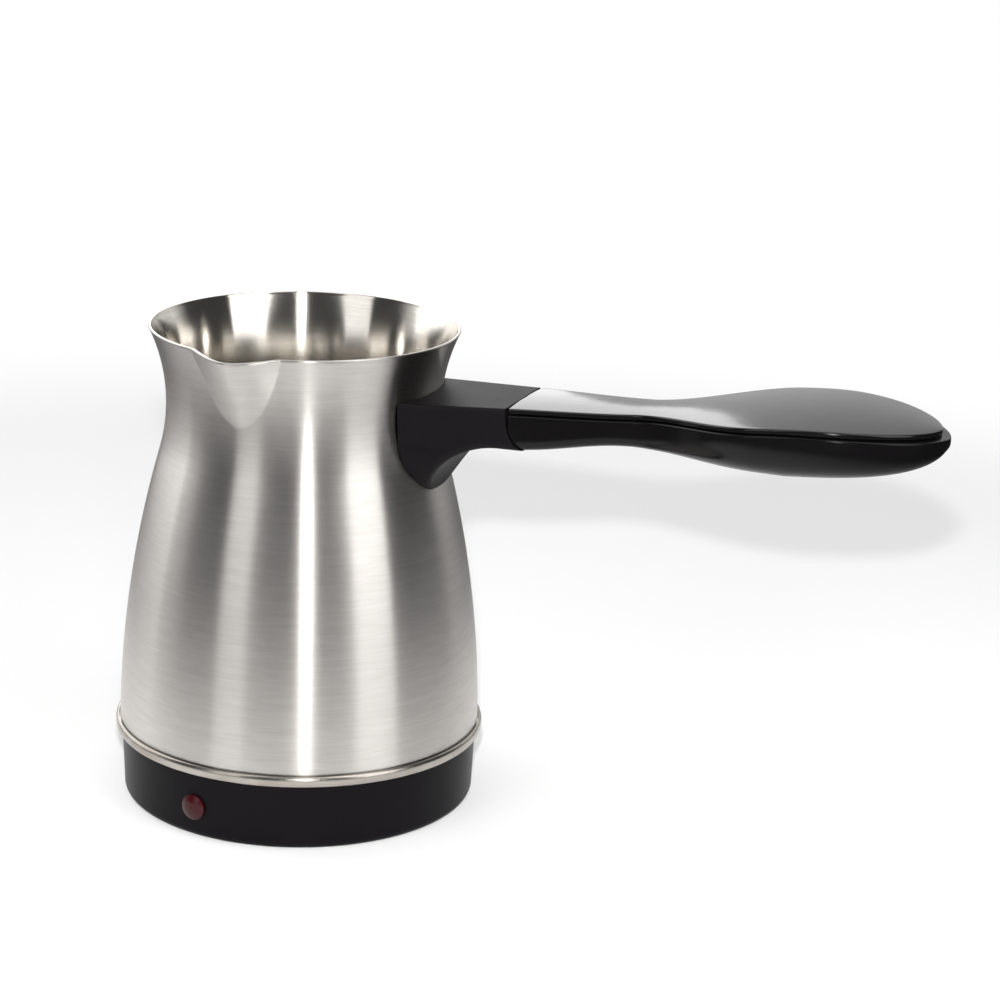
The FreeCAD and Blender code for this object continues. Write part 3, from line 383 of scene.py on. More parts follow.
def bare_piece(name: str, vertices: np.ndarray, faces: Sequence[Face]) -> bpy.types.Object:
    """Link an object made from points, with its place in its mesh.

    Args:
        name: The object's name.
        vertices: Points in millimetres, one row each.
        faces: Corner numbers of each face.

    Returns:
        The object, flat shaded.
    """
    mesh = bpy.data.meshes.new(name)
    mesh.from_pydata((np.asarray(vertices) * MM).tolist(), [], faces)
    piece = bpy.data.objects.new(name, mesh)
    bpy.context.scene.collection.objects.link(piece)
    return piece


def shade(mesh: bpy.types.Mesh, sharp_degrees: float) -> None:
    """Shade a mesh smoothly.

    Args:
        mesh: The mesh.
        sharp_degrees: Edges that turn more than this stay crisp.
    """
    mesh.polygons.foreach_set("use_smooth", np.ones(len(mesh.polygons), dtype=bool))
    mesh.set_sharp_from_angle(angle=math.radians(sharp_degrees))


def new_piece(name: str, vertices: np.ndarray, faces: Sequence[Face], body: str,
              sharp_degrees: float) -> bpy.types.Object:
    """Make a shaded object that rides on a body.

    Args:
        name: The piece's name.
        vertices: Points in millimetres, one row each.
        faces: Corner numbers of each face.
        body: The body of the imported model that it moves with.
        sharp_degrees: Edges that turn more than this stay crisp.

    Returns:
        The object.
    """
    piece = bare_piece(name, vertices, faces)
    piece.data.validate()
    piece.data.update()
    shade(piece.data, sharp_degrees)
    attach(piece, body)
    log.info("%s: %d faces", name, len(piece.data.polygons))
    return piece


def ring_faces(rings: int, around: int, looped: bool) -> list[Face]:
    """List the quads between neighbouring rings of points.

    Args:
        rings: Number of rings.
        around: Number of points in a ring.
        looped: Whether the last ring joins the first.

    Returns:
        The corner numbers of each quad.
    """
    lower = np.arange(rings if looped else rings - 1)[:, None]
    upper = (lower + 1) % rings
    here = np.arange(around)[None, :]
    after = (here + 1) % around
    quads = np.stack([lower * around + here, lower * around + after,
                      upper * around + after, upper * around + here], -1)
    return [tuple(quad) for quad in quads.reshape(-1, 4).tolist()]


def capped_rings(rings: np.ndarray) -> tuple[np.ndarray, list[Face]]:
    """Close a stack of rings with a face at each end.

    Args:
        rings: Points as rings by points by 3.

    Returns:
        The points as rows, and the faces.
    """
    count, around, _ = rings.shape
    faces = ring_faces(count, around, looped=False)
    faces.append(tuple(range(around - 1, -1, -1)))
    faces.append(tuple((count - 1) * around + i for i in range(around)))
    return rings.reshape(-1, 3), faces


def turned(profile: Sequence[tuple[float, float]], steps: int) -> tuple[np.ndarray, list[Face]]:
    """Turn a closed half section about Z.

    Args:
        profile: Radius and height of each corner, in order.
        steps: Points round the turn.

    Returns:
        The points and the faces.
    """
    radius, height = np.array(profile).T[:, :, None]
    angle = np.linspace(0, 2 * np.pi, steps, endpoint=False)
    rings = np.stack([radius * np.cos(angle), radius * np.sin(angle),
                      np.repeat(height, steps, axis=1)], -1)
    return rings.reshape(-1, 3), ring_faces(len(profile), steps, looped=True)


def cut_with(piece: bpy.types.Object, tools: Sequence[bpy.types.Object]) -> None:
    """Take each tool's volume out of a piece, and remove the tools.

    Args:
        piece: The object to cut.
        tools: Closed mesh objects.
    """
    for tool in tools:
        cut = piece.modifiers.new("cut", "BOOLEAN")
        cut.object = tool
        cut.operation = "DIFFERENCE"
        cut.solver = "EXACT"
    graph = bpy.context.evaluated_depsgraph_get()
    mesh = bpy.data.meshes.new_from_object(piece.evaluated_get(graph))
    piece.modifiers.clear()
    piece.data = mesh
    shade(mesh, 30)
    for tool in tools:
        bpy.data.objects.remove(tool)


def box_tool(low: Sequence[float], high: Sequence[float]) -> bpy.types.Object:
    """Make a box to cut with, between two corners in millimetres.

    Args:
        low: Lowest corner.
        high: Highest corner.

    Returns:
        The tool, linked to the scene.
    """
    corners = np.array(list(itertools.product(*zip(low, high))))
    return bare_piece("tool", corners, [(0, 1, 3, 2), (4, 6, 7, 5), (0, 4, 5, 1), (2, 3, 7, 6),
                                        (0, 2, 6, 4), (1, 5, 7, 3)])


def round_tool(start: Sequence[float], axis: Vector, radius: float, length: float,
               steps: int = 64) -> bpy.types.Object:
    """Make a round bar to cut with.

    Args:
        start: Where it starts, in millimetres.
        axis: The way it runs.
        radius: Its radius.
        length: Its length.
        steps: Points round it.

    Returns:
        The tool, linked to the scene.
    """
    angle = np.linspace(0, 2 * np.pi, steps, endpoint=False)
    ring = np.stack([radius * np.cos(angle), radius * np.sin(angle), np.zeros(steps)], -1)
    points, faces = capped_rings(np.stack([ring, ring + [0, 0, length]]))
    turn = np.array(axis.to_track_quat("Z", "Y").to_matrix())
    return bare_piece("tool", points @ turn.T + np.array(start), faces)


# Materials

def linear(code: str) -> tuple[float, float, float, float]:
    """Turn an sRGB colour code into linear values.

    Args:
        code: Six hexadecimal digits.

    Returns:
        Red, green, blue and an alpha of 1.
    """
    parts = [int(code[i:i + 2], 16) / 255 for i in (0, 2, 4)]
    curve = [part / 12.92 if part <= 0.04045 else ((part + 0.055) / 1.055) ** 2.4
             for part in parts]
    return curve[0], curve[1], curve[2], 1.0


class Make(Enum):
    """How a surface was made, which sets its pattern."""

    BRUSHED = "brushed"
    POLISHED = "polished"
    MOULDED = "moulded"
    PLATED = "plated"
    CLEAR = "clear"


@dataclass(frozen=True)
class Finish:
    """One real material and its process. Its relief is a share of its grain's width."""

    name: str
    make: Make
    colour: str
    roughness: float
    second_colour: str = "000000"
    metallic: float = 0.0
    coat: float = 0.0
    anisotropy: float = 0.0
    grain_mm: float = 0.4
    relief: float = 0.025
    transmission: float = 0.0
    specular: float = 0.5


# Fine lines round the pot draw each light out into an upright streak across them.
STEEL_BRUSHED = Finish("stainless_steel_brushed_round", Make.BRUSHED, "dbd7d3", 0.30, "c9c5c0",
                       metallic=1.0, anisotropy=0.97, grain_mm=0.12, relief=0.024)
# Drawn and only lightly brushed, so the inside mirrors the room more sharply than the outside.
STEEL_DRAWN = Finish("stainless_steel_drawn_inside", Make.BRUSHED, "e6e2dc", 0.15, "d2cdc4",
                     metallic=1.0, anisotropy=0.95, grain_mm=0.2, relief=0.018)
# Rolled and tumbled: bright, but greyer than the vessel, with faint rolling marks.
STEEL_POLISHED = Finish("stainless_steel_rolled_bead", Make.POLISHED, "bcb7b0", 0.22, "9c958c",
                        metallic=1.0, grain_mm=0.25, relief=0.012)
# Moulded from phenolic resin: nearly black, with a soft sheen and hardly a highlight.
BAKELITE_SATIN = Finish("phenolic_moulded_satin", Make.MOULDED, "080608", 0.34, "0c0a0d",
                        grain_mm=0.35, specular=0.08)
# Spark-eroded tool texture: black and dull from every side.
NYLON_SATIN = Finish("nylon_moulded_fine_texture", Make.MOULDED, "0c0a0c", 0.48, "110f11",
                     grain_mm=0.3, specular=0.1)
# Smooth black moulding with slow waves in its reflections.
GRIP_SATIN = Finish("abs_moulded_black", Make.MOULDED, "080708", 0.17, "0b0a0b",
                    grain_mm=6.0, relief=0.005, specular=0.2)
# Polished tool: the cover mirrors the pale room as a smooth grey.
GRIP_GLOSS = Finish("abs_moulded_gloss", Make.MOULDED, "080708", 0.13, "0b0a0b", coat=0.1,
                    grain_mm=6.0, relief=0.005, specular=0.4)
# Deep red and only slightly clear, because the lamp behind it is off.
LENS_RED = Finish("polycarbonate_red_clear", Make.CLEAR, "2e0307", 0.22, transmission=0.1,
                  grain_mm=1.2, relief=0.003, specular=0.25)
# Thin drawn glass, clear and bright at its edges.
BULB_GLASS = Finish("neon_bulb_glass", Make.CLEAR, "e8dccb", 0.08, transmission=0.8,
                    grain_mm=2.0, relief=0.006)
# Brick-red rubber with no shine.
SILICONE = Finish("silicone_moulded_red", Make.MOULDED, "8a3426", 0.55, "7b2d20", grain_mm=0.5)
# Soft dull black, with a coarser skin than the hard mouldings.
RUBBER = Finish("pvc_moulded_black", Make.MOULDED, "1a1a1b", 0.5, "232324", grain_mm=0.3,
                relief=0.05)
# Pressed plate: pale, mottled and without a clear reflection.
ALUMINIUM_PRESSED = Finish("aluminium_pressed_plate", Make.PLATED, "b9babb", 0.38, "a5a6a7",
                        metallic=1.0, grain_mm=0.8, relief=0.036)
# Cool bright grey of barrel plating, with small scratches.
ZINC_PLATED = Finish("steel_zinc_plated", Make.PLATED, "b7b9bb", 0.3, "9fa3a5", metallic=1.0,
                     grain_mm=0.6, relief=0.03)
# Die cast: darker grey, with a slight orange-peel skin.
ZINC_CAST = Finish("zinc_die_cast", Make.PLATED, "9c9da0", 0.42, "88898c", metallic=1.0,
                   grain_mm=0.5, relief=0.06)
# Pale yellow where the tin is thin.
BRASS_TINNED = Finish("brass_tinned", Make.PLATED, "c6b684", 0.32, "ac9a66", metallic=1.0,
                      grain_mm=0.6, relief=0.03)
# Filled resin: brown, slightly cloudy and dull.
PHENOLIC_BROWN = Finish("phenolic_moulded_brown", Make.MOULDED, "3a2c22", 0.5, "4a382b",
                        relief=0.0375)
# Uncoloured nylon: cream and waxy.
NYLON_NATURAL = Finish("nylon_washer_natural", Make.MOULDED, "ddd6c6", 0.45, "cfc7b5")

NODE_FINISHES: dict[Finish, tuple[str, ...]] = {
    STEEL_BRUSHED: ("vessel",),
    STEEL_POLISHED: ("trim_ring",),
    BAKELITE_SATIN: ("base_shell", "bottom_cover"),
    NYLON_SATIN: ("handle_bracket",),
    GRIP_SATIN: ("grip_lower_shell",),
    GRIP_GLOSS: ("grip_top_cover",),
    LENS_RED: ("lamp_lens",),
    BULB_GLASS: ("neon_lamp",),
    SILICONE: ("base_seal",),
    RUBBER: ("cord_gland",),
    ALUMINIUM_PRESSED: ("heat_plate", "heating_element"),
    ZINC_PLATED: ("bottom_screws", "element_pins", "mounting_studs", "stud_nuts",
                  "handle_saddle", "handle_screw", "hinge_pin", "grip_screws"),
    ZINC_CAST: ("hinge_lug",),
    BRASS_TINNED: ("earth_tag", "thermal_fuse"),
    PHENOLIC_BROWN: ("thermostat", "terminal_block"),
    NYLON_NATURAL: ("hinge_washers",),
}


class Nodes:
    """Adds nodes to one tree."""

    def __init__(self, tree: bpy.types.NodeTree) -> None:
        """Take the tree that the nodes are added to."""
        self.tree = tree

    def node(self, kind: str, inputs: dict[str | int, object] | None = None,
             **settings: object) -> bpy.types.Node:
        """Add a node.

        Args:
            kind: The node's type, without its ShaderNode prefix.
            inputs: Values or sockets for its inputs, by name or number.
            settings: Its properties.

        Returns:
            The node.
        """
        made = self.tree.nodes.new("ShaderNode" + kind)
        for key, value in settings.items():
            setattr(made, key, value)
        for key, value in (inputs or {}).items():
            if isinstance(value, bpy.types.NodeSocket):
                self.tree.links.new(value, made.inputs[key])
            else:
                made.inputs[key].default_value = value
        return made

    def maths(self, operation: str, first: object, second: object) -> bpy.types.NodeSocket:
        """Give the result of one sum on values or sockets."""
        return self.node("Math", {0: first, 1: second}, operation=operation).outputs[0]

    def mixed(self, first: object, second: object, share: float) -> bpy.types.NodeSocket:
        """Blend two patterns.

        Args:
            first: One pattern's socket.
            second: The other's.
            share: How much of the second there is, from 0 to 1.

        Returns:
            The blend's socket.
        """
        return self.maths("ADD", self.maths("MULTIPLY", first, 1 - share),
                          self.maths("MULTIPLY", second, share))

    def place(self) -> bpy.types.NodeSocket:
        """Give the point on the piece, in metres."""
        return self.node("TexCoord").outputs["Object"]

    def distance(self, point: object) -> bpy.types.NodeSocket:
        """Give a point's distance from the origin."""
        return self.node("VectorMath", {0: point}, operation="LENGTH").outputs["Value"]

    def noise(self, where: object, scale: float, detail: float = 3.0,
              roughness: float = 0.5) -> bpy.types.NodeSocket:
        """Add a noise pattern.

        Args:
            where: The socket of its coordinates.
            scale: Waves for each unit of the coordinates.
            detail: Octaves.
            roughness: How much the fine octaves count.

        Returns:
            The factor's socket.
        """
        return self.node("TexNoise", {"Vector": where, "Scale": scale, "Detail": detail,
                                      "Roughness": roughness}).outputs["Fac"]

    def between(self, factor: object, low: float, high: float) -> bpy.types.NodeSocket:
        """Map a factor of 0 to 1 to a range."""
        return self.node("MapRange", {0: factor, 3: low, 4: high}).outputs[0]

    def fade(self, value: object, start: float, end: float, low: float, high: float
             ) -> bpy.types.NodeSocket:
        """Pass softly from one level to another, on an S-shaped line.

        Args:
            value: The socket that it follows.
            start: Its value where the change begins.
            end: Its value where the change is over.
            low: The level before.
            high: The level after.

        Returns:
            The level's socket.
        """
        return self.node("MapRange", {0: value, 1: start, 2: end, 3: low, 4: high},
                         interpolation_type="SMOOTHSTEP").outputs[0]

    def seen_directly(self) -> bpy.types.NodeSocket:
        """Give 1 for rays from the camera or through a clear piece, and 0 for others."""
        path = self.node("LightPath").outputs
        return self.maths("MAXIMUM", path["Is Camera Ray"], path["Is Transmission Ray"])


class MaterialMaker(Nodes):
    """Builds the node tree of one finish.

    Noise keeps near its middle, so the ranges that it is given are wider than what shows.
    """

    # Three sets of brushed lines: their width in grains, and their waves to a radian.
    BRUSHED_LINES = ((1.0, 1.875), (3.5, 10 / 3), (14.0, 6.0))
    # On the level floor the lines run as rings, at this share of their density on the wall.
    RING_DENSITY = 0.6
    # Patterns that don't depend on the grain, in waves to a metre.
    SMUDGES, PATCHES, WAVES = 38.0, 120.0, 60.0
    # Depth of a moulding's slow waves, as a share of its grain's width.
    WAVE_DEPTH = 0.01
    COAT_ROUGHNESS = 0.05
    CLEAR_PLASTIC_IOR = 1.55
    # The brushed lines lie along the tangent, so the highlight is turned a quarter.
    QUARTER_TURN = 0.25

    def __init__(self, finish: Finish) -> None:
        """Start an empty material for a finish.

        Args:
            finish: The finish to build.
        """
        self.finish = finish
        self.material = bpy.data.materials.new(finish.name)
        self.material.use_nodes = True
        super().__init__(self.material.node_tree)
        self.shader = self.tree.nodes["Principled BSDF"]

    def build(self) -> bpy.types.Material:
        """Make the whole tree.

        Returns:
            The finished material.
        """
        finish = self.finish
        uniform = {"Metallic": finish.metallic, "Coat Weight": finish.coat,
                   "Coat Roughness": self.COAT_ROUGHNESS, "Anisotropic": finish.anisotropy,
                   "Anisotropic Rotation": self.QUARTER_TURN,
                   "Specular IOR Level": finish.specular,
                   "Transmission Weight": finish.transmission}
        for name, value in uniform.items():
            self.shader.inputs[name].default_value = value
        makers: dict[Make, Callable[[], None]] = {
            Make.BRUSHED: self.brushed, Make.POLISHED: self.polished,
            Make.MOULDED: self.moulded, Make.PLATED: self.plated, Make.CLEAR: self.clear}
        makers[finish.make]()
        return self.material

    def wire(self, name: str, socket: bpy.types.NodeSocket) -> None:
        """Link a socket to the shader's input of that name."""
        self.tree.links.new(socket, self.shader.inputs[name])

    def grain(self, widths: float, detail: float = 3.0, roughness: float = 0.5
              ) -> bpy.types.NodeSocket:
        """Add a noise on the finish's own scale.

        Args:
            widths: Width of its waves, in grains.
            detail: Octaves.
            roughness: How much the fine octaves count.

        Returns:
            The factor's socket.
        """
        scale = 1 / (self.finish.grain_mm * widths * MM)
        return self.noise(self.place(), scale, detail, roughness)

    def colours(self, pattern: object, low: float, high: float) -> None:
        """Let the base colour drift between the finish's two colours.

        Args:
            pattern: The socket that it follows, from 0 to 1.
            low: Share of the second colour at 0; below 0 it stays away for longer.
            high: Share of the second colour at 1.
        """
        mix = self.node("Mix", {0: self.between(pattern, low, high),
                                6: linear(self.finish.colour),
                                7: linear(self.finish.second_colour)}, data_type="RGBA")
        self.wire("Base Color", mix.outputs[2])

    def relief(self, height: object) -> None:
        """Turn a height pattern into a bump of the finish's own depth.

        Args:
            height: The pattern's socket.
        """
        depth = self.finish.grain_mm * self.finish.relief * MM
        self.wire("Normal", self.node("Bump", {"Height": height, "Distance": depth,
                                               "Strength": 1.0}).outputs[0])

    def round_z(self) -> tuple[bpy.types.NodeSocket, ...]:
        """Give the turn about Z in radians, the distance from Z and the height.

        Returns:
            The three sockets.
        """
        axes = self.node("SeparateXYZ", {0: self.place()}).outputs
        level = self.node("CombineXYZ", {0: axes[0], 1: axes[1]}).outputs[0]
        return self.maths("ARCTAN2", axes[1], axes[0]), self.distance(level), axes[2]

    def brushed(self) -> None:
        """Lay fine lines round the Z axis, of several widths, with faint streaks and smudges."""
        turn, reach, height = self.round_z()
        along = self.maths("ADD", height, self.maths("MULTIPLY", reach, self.RING_DENSITY))
        sets = []
        for widths, waves in self.BRUSHED_LINES:
            width = self.finish.grain_mm * widths
            lines = self.node("CombineXYZ", {
                0: self.maths("MULTIPLY", turn, waves),
                1: self.maths("MULTIPLY", along, 1 / (width * MM)), 2: width})
            sets.append(self.noise(lines.outputs[0], 1.0, 2.0))
        fine, middle, broad = sets
        self.colours(self.mixed(middle, broad, 0.4), -0.35, 1.35)
        even = self.finish.roughness
        smudge = self.noise(self.place(), self.SMUDGES, 2.0)
        self.wire("Roughness", self.maths("ADD", self.between(broad, even - 0.015, even + 0.025),
                                          self.between(smudge, -0.02, 0.03)))
        self.relief(self.mixed(fine, middle, 0.45))
        self.wire("Tangent", self.node("Tangent", direction_type="RADIAL", axis="Z").outputs[0])

    def polished(self) -> None:
        """Leave faint rolling marks round the Z axis on a bright surface."""
        turn, _, height = self.round_z()
        lines = self.node("CombineXYZ", {
            0: self.maths("MULTIPLY", turn, 6.0),
            1: self.maths("MULTIPLY", height, 1 / (self.finish.grain_mm * MM))})
        marks = self.noise(lines.outputs[0], 1.0)
        self.colours(self.noise(self.place(), self.PATCHES), -0.4, 1.2)
        even = self.finish.roughness
        self.wire("Roughness", self.between(marks, even - 0.05, even + 0.08))
        self.relief(marks)

    def moulded(self) -> None:
        """Give a moulded surface its fine grain and slow waves."""
        finish = self.finish
        grain = self.grain(1.0, roughness=0.6)
        waves = self.noise(self.place(), self.WAVES, 2.0)
        self.colours(waves, 0.0, 1.0)
        self.wire("Roughness", self.between(self.mixed(grain, waves, 0.5),
                                            finish.roughness * 0.8, finish.roughness * 1.25))
        swell = self.maths("MULTIPLY", waves, self.WAVE_DEPTH / finish.relief)
        self.relief(self.maths("ADD", grain, swell))

    def plated(self) -> None:
        """Give bare or plated metal its mottle and small scratches."""
        grain = self.grain(1.0, roughness=0.65)
        self.colours(self.grain(4.0), -0.2, 1.2)
        even = self.finish.roughness
        self.wire("Roughness", self.between(grain, even - 0.08, even + 0.1))
        self.relief(grain)

    def clear(self) -> None:
        """Colour a clear moulding, with slight flow marks."""
        finish = self.finish
        flow = self.grain(1.0, detail=2.0)
        self.shader.inputs["Base Color"].default_value = linear(finish.colour)
        self.shader.inputs["IOR"].default_value = self.CLEAR_PLASTIC_IOR
        self.wire("Roughness", self.between(flow, finish.roughness * 0.7,
                                            finish.roughness * 1.4))
        self.relief(flow)


class Materials:
    """Makes each finish once and gives it out."""

    def __init__(self) -> None:
        """Start with no finish made."""
        self.made: dict[Finish, bpy.types.Material] = {}

    def get(self, finish: Finish) -> bpy.types.Material:
        """Give a finish's material.

        Args:
            finish: The finish wanted.

        Returns:
            Its material, made at the first call.
        """
        if finish not in self.made:
            self.made[finish] = MaterialMaker(finish).build()
        return self.made[finish]

    def dress(self, piece: bpy.types.Object, finish: Finish) -> None:
        """Give a piece one finish all over.

        Args:
            piece: The object to dress.
            finish: Its finish.
        """
        material = self.get(finish)
        if not piece.data.materials:
            piece.data.materials.append(material)
        for slot in piece.material_slots:
            slot.material = material


# The pot

@dataclass(frozen=True)
class Pot:
    """The vessel and the bead under it."""

    materials: Materials
    form: VesselForm = VesselForm()
    bead: BeadForm = BeadForm()
    lip_columns: int = 180
    plain_columns: int = 260
    bead_columns: int = 360
    floor_rings: tuple[float, ...] = (0.02, 0.3, 0.6, 0.85, 0.95)
    corner_rings: int = 8
    level_rings: int = 34
    upper_rings: int = 62
    rim_rings: int = 9
    lip_window: float = 0.5
    lip_margin: float = 3.0
    table_rise: float = 1.5
    table_rows: int = 170
    table_columns: int = 401

    def angles(self) -> np.ndarray:
        """Give the angles round the vessel, close together at the lip.

        Returns:
            The angles in radians, from one side of the lip all the way round.
        """
        lip = math.radians(self.form.lip_angle)
        reach = math.radians(self.form.lip_half_turn)
        near = np.linspace(lip - reach, lip + reach, self.lip_columns, endpoint=False)
        far = np.linspace(lip + reach, lip - reach + 2 * np.pi, self.plain_columns,
                          endpoint=False)
        return np.concatenate([near, far])

    def lip(self, heights: np.ndarray, turn: np.ndarray, inset: float) -> np.ndarray:
        """Read the lip's reach from its table, in proportion between rows and columns.

        Args:
            heights: Height of each point, rows by columns.
            turn: Angle of each column from the lip's direction.
            inset: How far the surface lies inside the outer one.

        Returns:
            The reach at each point, or 0 where there is no lip.
        """
        form, window = self.form, self.lip_window
        levels = np.linspace(form.lip_tip_height, form.rim_height + self.table_rise,
                             self.table_rows)
        turns = np.linspace(-window, window, self.table_columns)
        table = form.lip_table(inset, levels, turns)
        row = np.clip((heights - levels[0]) / (levels[1] - levels[0]), 0, len(levels) - 1.001)
        column = np.clip((turn - turns[0]) / (turns[1] - turns[0]), 0, len(turns) - 1.001)
        column = np.broadcast_to(column, heights.shape)
        r, c = row.astype(int), column.astype(int)
        fr, fc = row - r, column - c
        reach = (table[r, c] * (1 - fr) * (1 - fc) + table[r + 1, c] * fr * (1 - fc)
                 + table[r, c + 1] * (1 - fr) * fc + table[r + 1, c + 1] * fr * fc)
        present = (heights > form.lip_tip_height) & (np.abs(turn) < window - 0.01)
        return np.where(present, reach, 0)

    def wall(self, heights: np.ndarray, angles: np.ndarray, inset: float) -> np.ndarray:
        """Give the wall's radius: the plain wall or the lip, whichever reaches further.

        Where the two meet, the crease is half filled with a hyperbola's round.

        Args:
            heights: Height of each point, rows by columns.
            angles: Angle of each column.
            inset: How far the surface lies inside the outer one.

        Returns:
            The radius of each point.
        """
        plain = self.form.radius(heights, inset)
        turn = np.angle(np.exp(1j * (angles - math.radians(self.form.lip_angle))))
        lip = self.lip(heights, turn, inset)
        over = lip - plain
        filling = (np.sqrt(over ** 2 + self.form.lip_crease ** 2) - np.abs(over)) / 4
        return np.where(over > -self.lip_margin, np.maximum(plain, lip) + filling, plain)

    def rim(self, angles: np.ndarray) -> np.ndarray:
        """Give the height of the mouth's edge: a plane cuts it, sloping down past the nose.

        The wall's reach at the edge depends on the edge's height, so it is found in four rounds.

        Args:
            angles: Angle of each column.

        Returns:
            One height for each column.
        """
        form = self.form
        turn = np.cos(angles - math.radians(form.lip_angle))
        slope = math.tan(math.radians(form.lip_dip_angle))
        edge = np.full(len(angles), form.rim_height)
        for _ in range(4):
            reach = self.wall(edge[None, :], angles, 0.0)[0] * turn
            edge = form.rim_height - np.maximum(reach - form.lip_dip_start, 0) * slope
            edge = np.where(turn > math.cos(self.lip_window), edge, form.rim_height)
        return edge

    def side(self, inset: float, angles: np.ndarray, edge: np.ndarray
             ) -> tuple[np.ndarray, np.ndarray]:
        """Lay one side of the wall, from the middle of its floor up to the mouth's edge.

        Args:
            inset: How far the surface lies inside the outer one.
            angles: Angle of each column.
            edge: Height at which each column ends.

        Returns:
            The heights and the radii, rows by columns.
        """
        form = self.form
        foot = form.floor_height + form.foot_corner
        corner = form.foot_corner - inset
        quarter = np.linspace(0, np.pi / 2, self.corner_rings)
        bend = form.foot_radius - form.foot_corner + corner * np.sin(quarter)
        flat = np.array(self.floor_rings) * bend[0]
        level = np.concatenate([np.full(len(flat), form.floor_height + inset),
                                foot - corner * np.cos(quarter),
                                np.linspace(foot, form.level_top, self.level_rings)[1:]])
        share = np.linspace(0, 1, self.upper_rings)[1:, None]
        heights = np.concatenate([np.repeat(level[:, None], len(angles), 1),
                                  form.level_top + share * (edge - form.level_top)])
        radii = self.wall(heights, angles, inset)
        floor = np.concatenate([flat, bend])
        radii[:len(floor)] = floor[:, None]
        return heights, radii

    def vessel_rings(self) -> np.ndarray:
        """Lay the vessel's rings, from under its floor, over the rounded rim, to inside.

        Returns:
            Points as rings by columns by 3.
        """
        form, angles = self.form, self.angles()
        edge = self.rim(angles) - form.rim_round
        outer_z, outer_r = self.side(0.0, angles, edge)
        inner_z, inner_r = self.side(form.wall, angles, edge)
        arc = np.linspace(0, np.pi, self.rim_rings)[1:-1, None]
        middle, half = (outer_r[-1] + inner_r[-1]) / 2, (outer_r[-1] - inner_r[-1]) / 2
        z = np.concatenate([outer_z, edge + form.rim_round * np.sin(arc), inner_z[::-1]])
        r = np.concatenate([outer_r, middle + half * np.cos(arc), inner_r[::-1]])
        return np.stack([r * np.cos(angles), r * np.sin(angles), z], -1)

    def build(self) -> None:
        """Make the vessel and the bead, in place of their solids."""
        points, faces = capped_rings(self.vessel_rings())
        vessel = new_piece("vessel_brushed", points, faces, "pot", 60)
        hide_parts("vessel")
        self.materials.dress(vessel, STEEL_BRUSHED)
        vessel.data.materials.append(self.materials.get(STEEL_DRAWN))
        inside = np.arange(len(vessel.data.polygons)) >= len(faces) // 2
        vessel.data.polygons.foreach_set("material_index", inside.astype(np.int32))
        bead = new_piece("bead_rolled", *turned(self.bead.profile(self.form), self.bead_columns),
                         "pot", 40)
        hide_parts("trim_ring")
        self.materials.dress(bead, STEEL_POLISHED)


# The grip

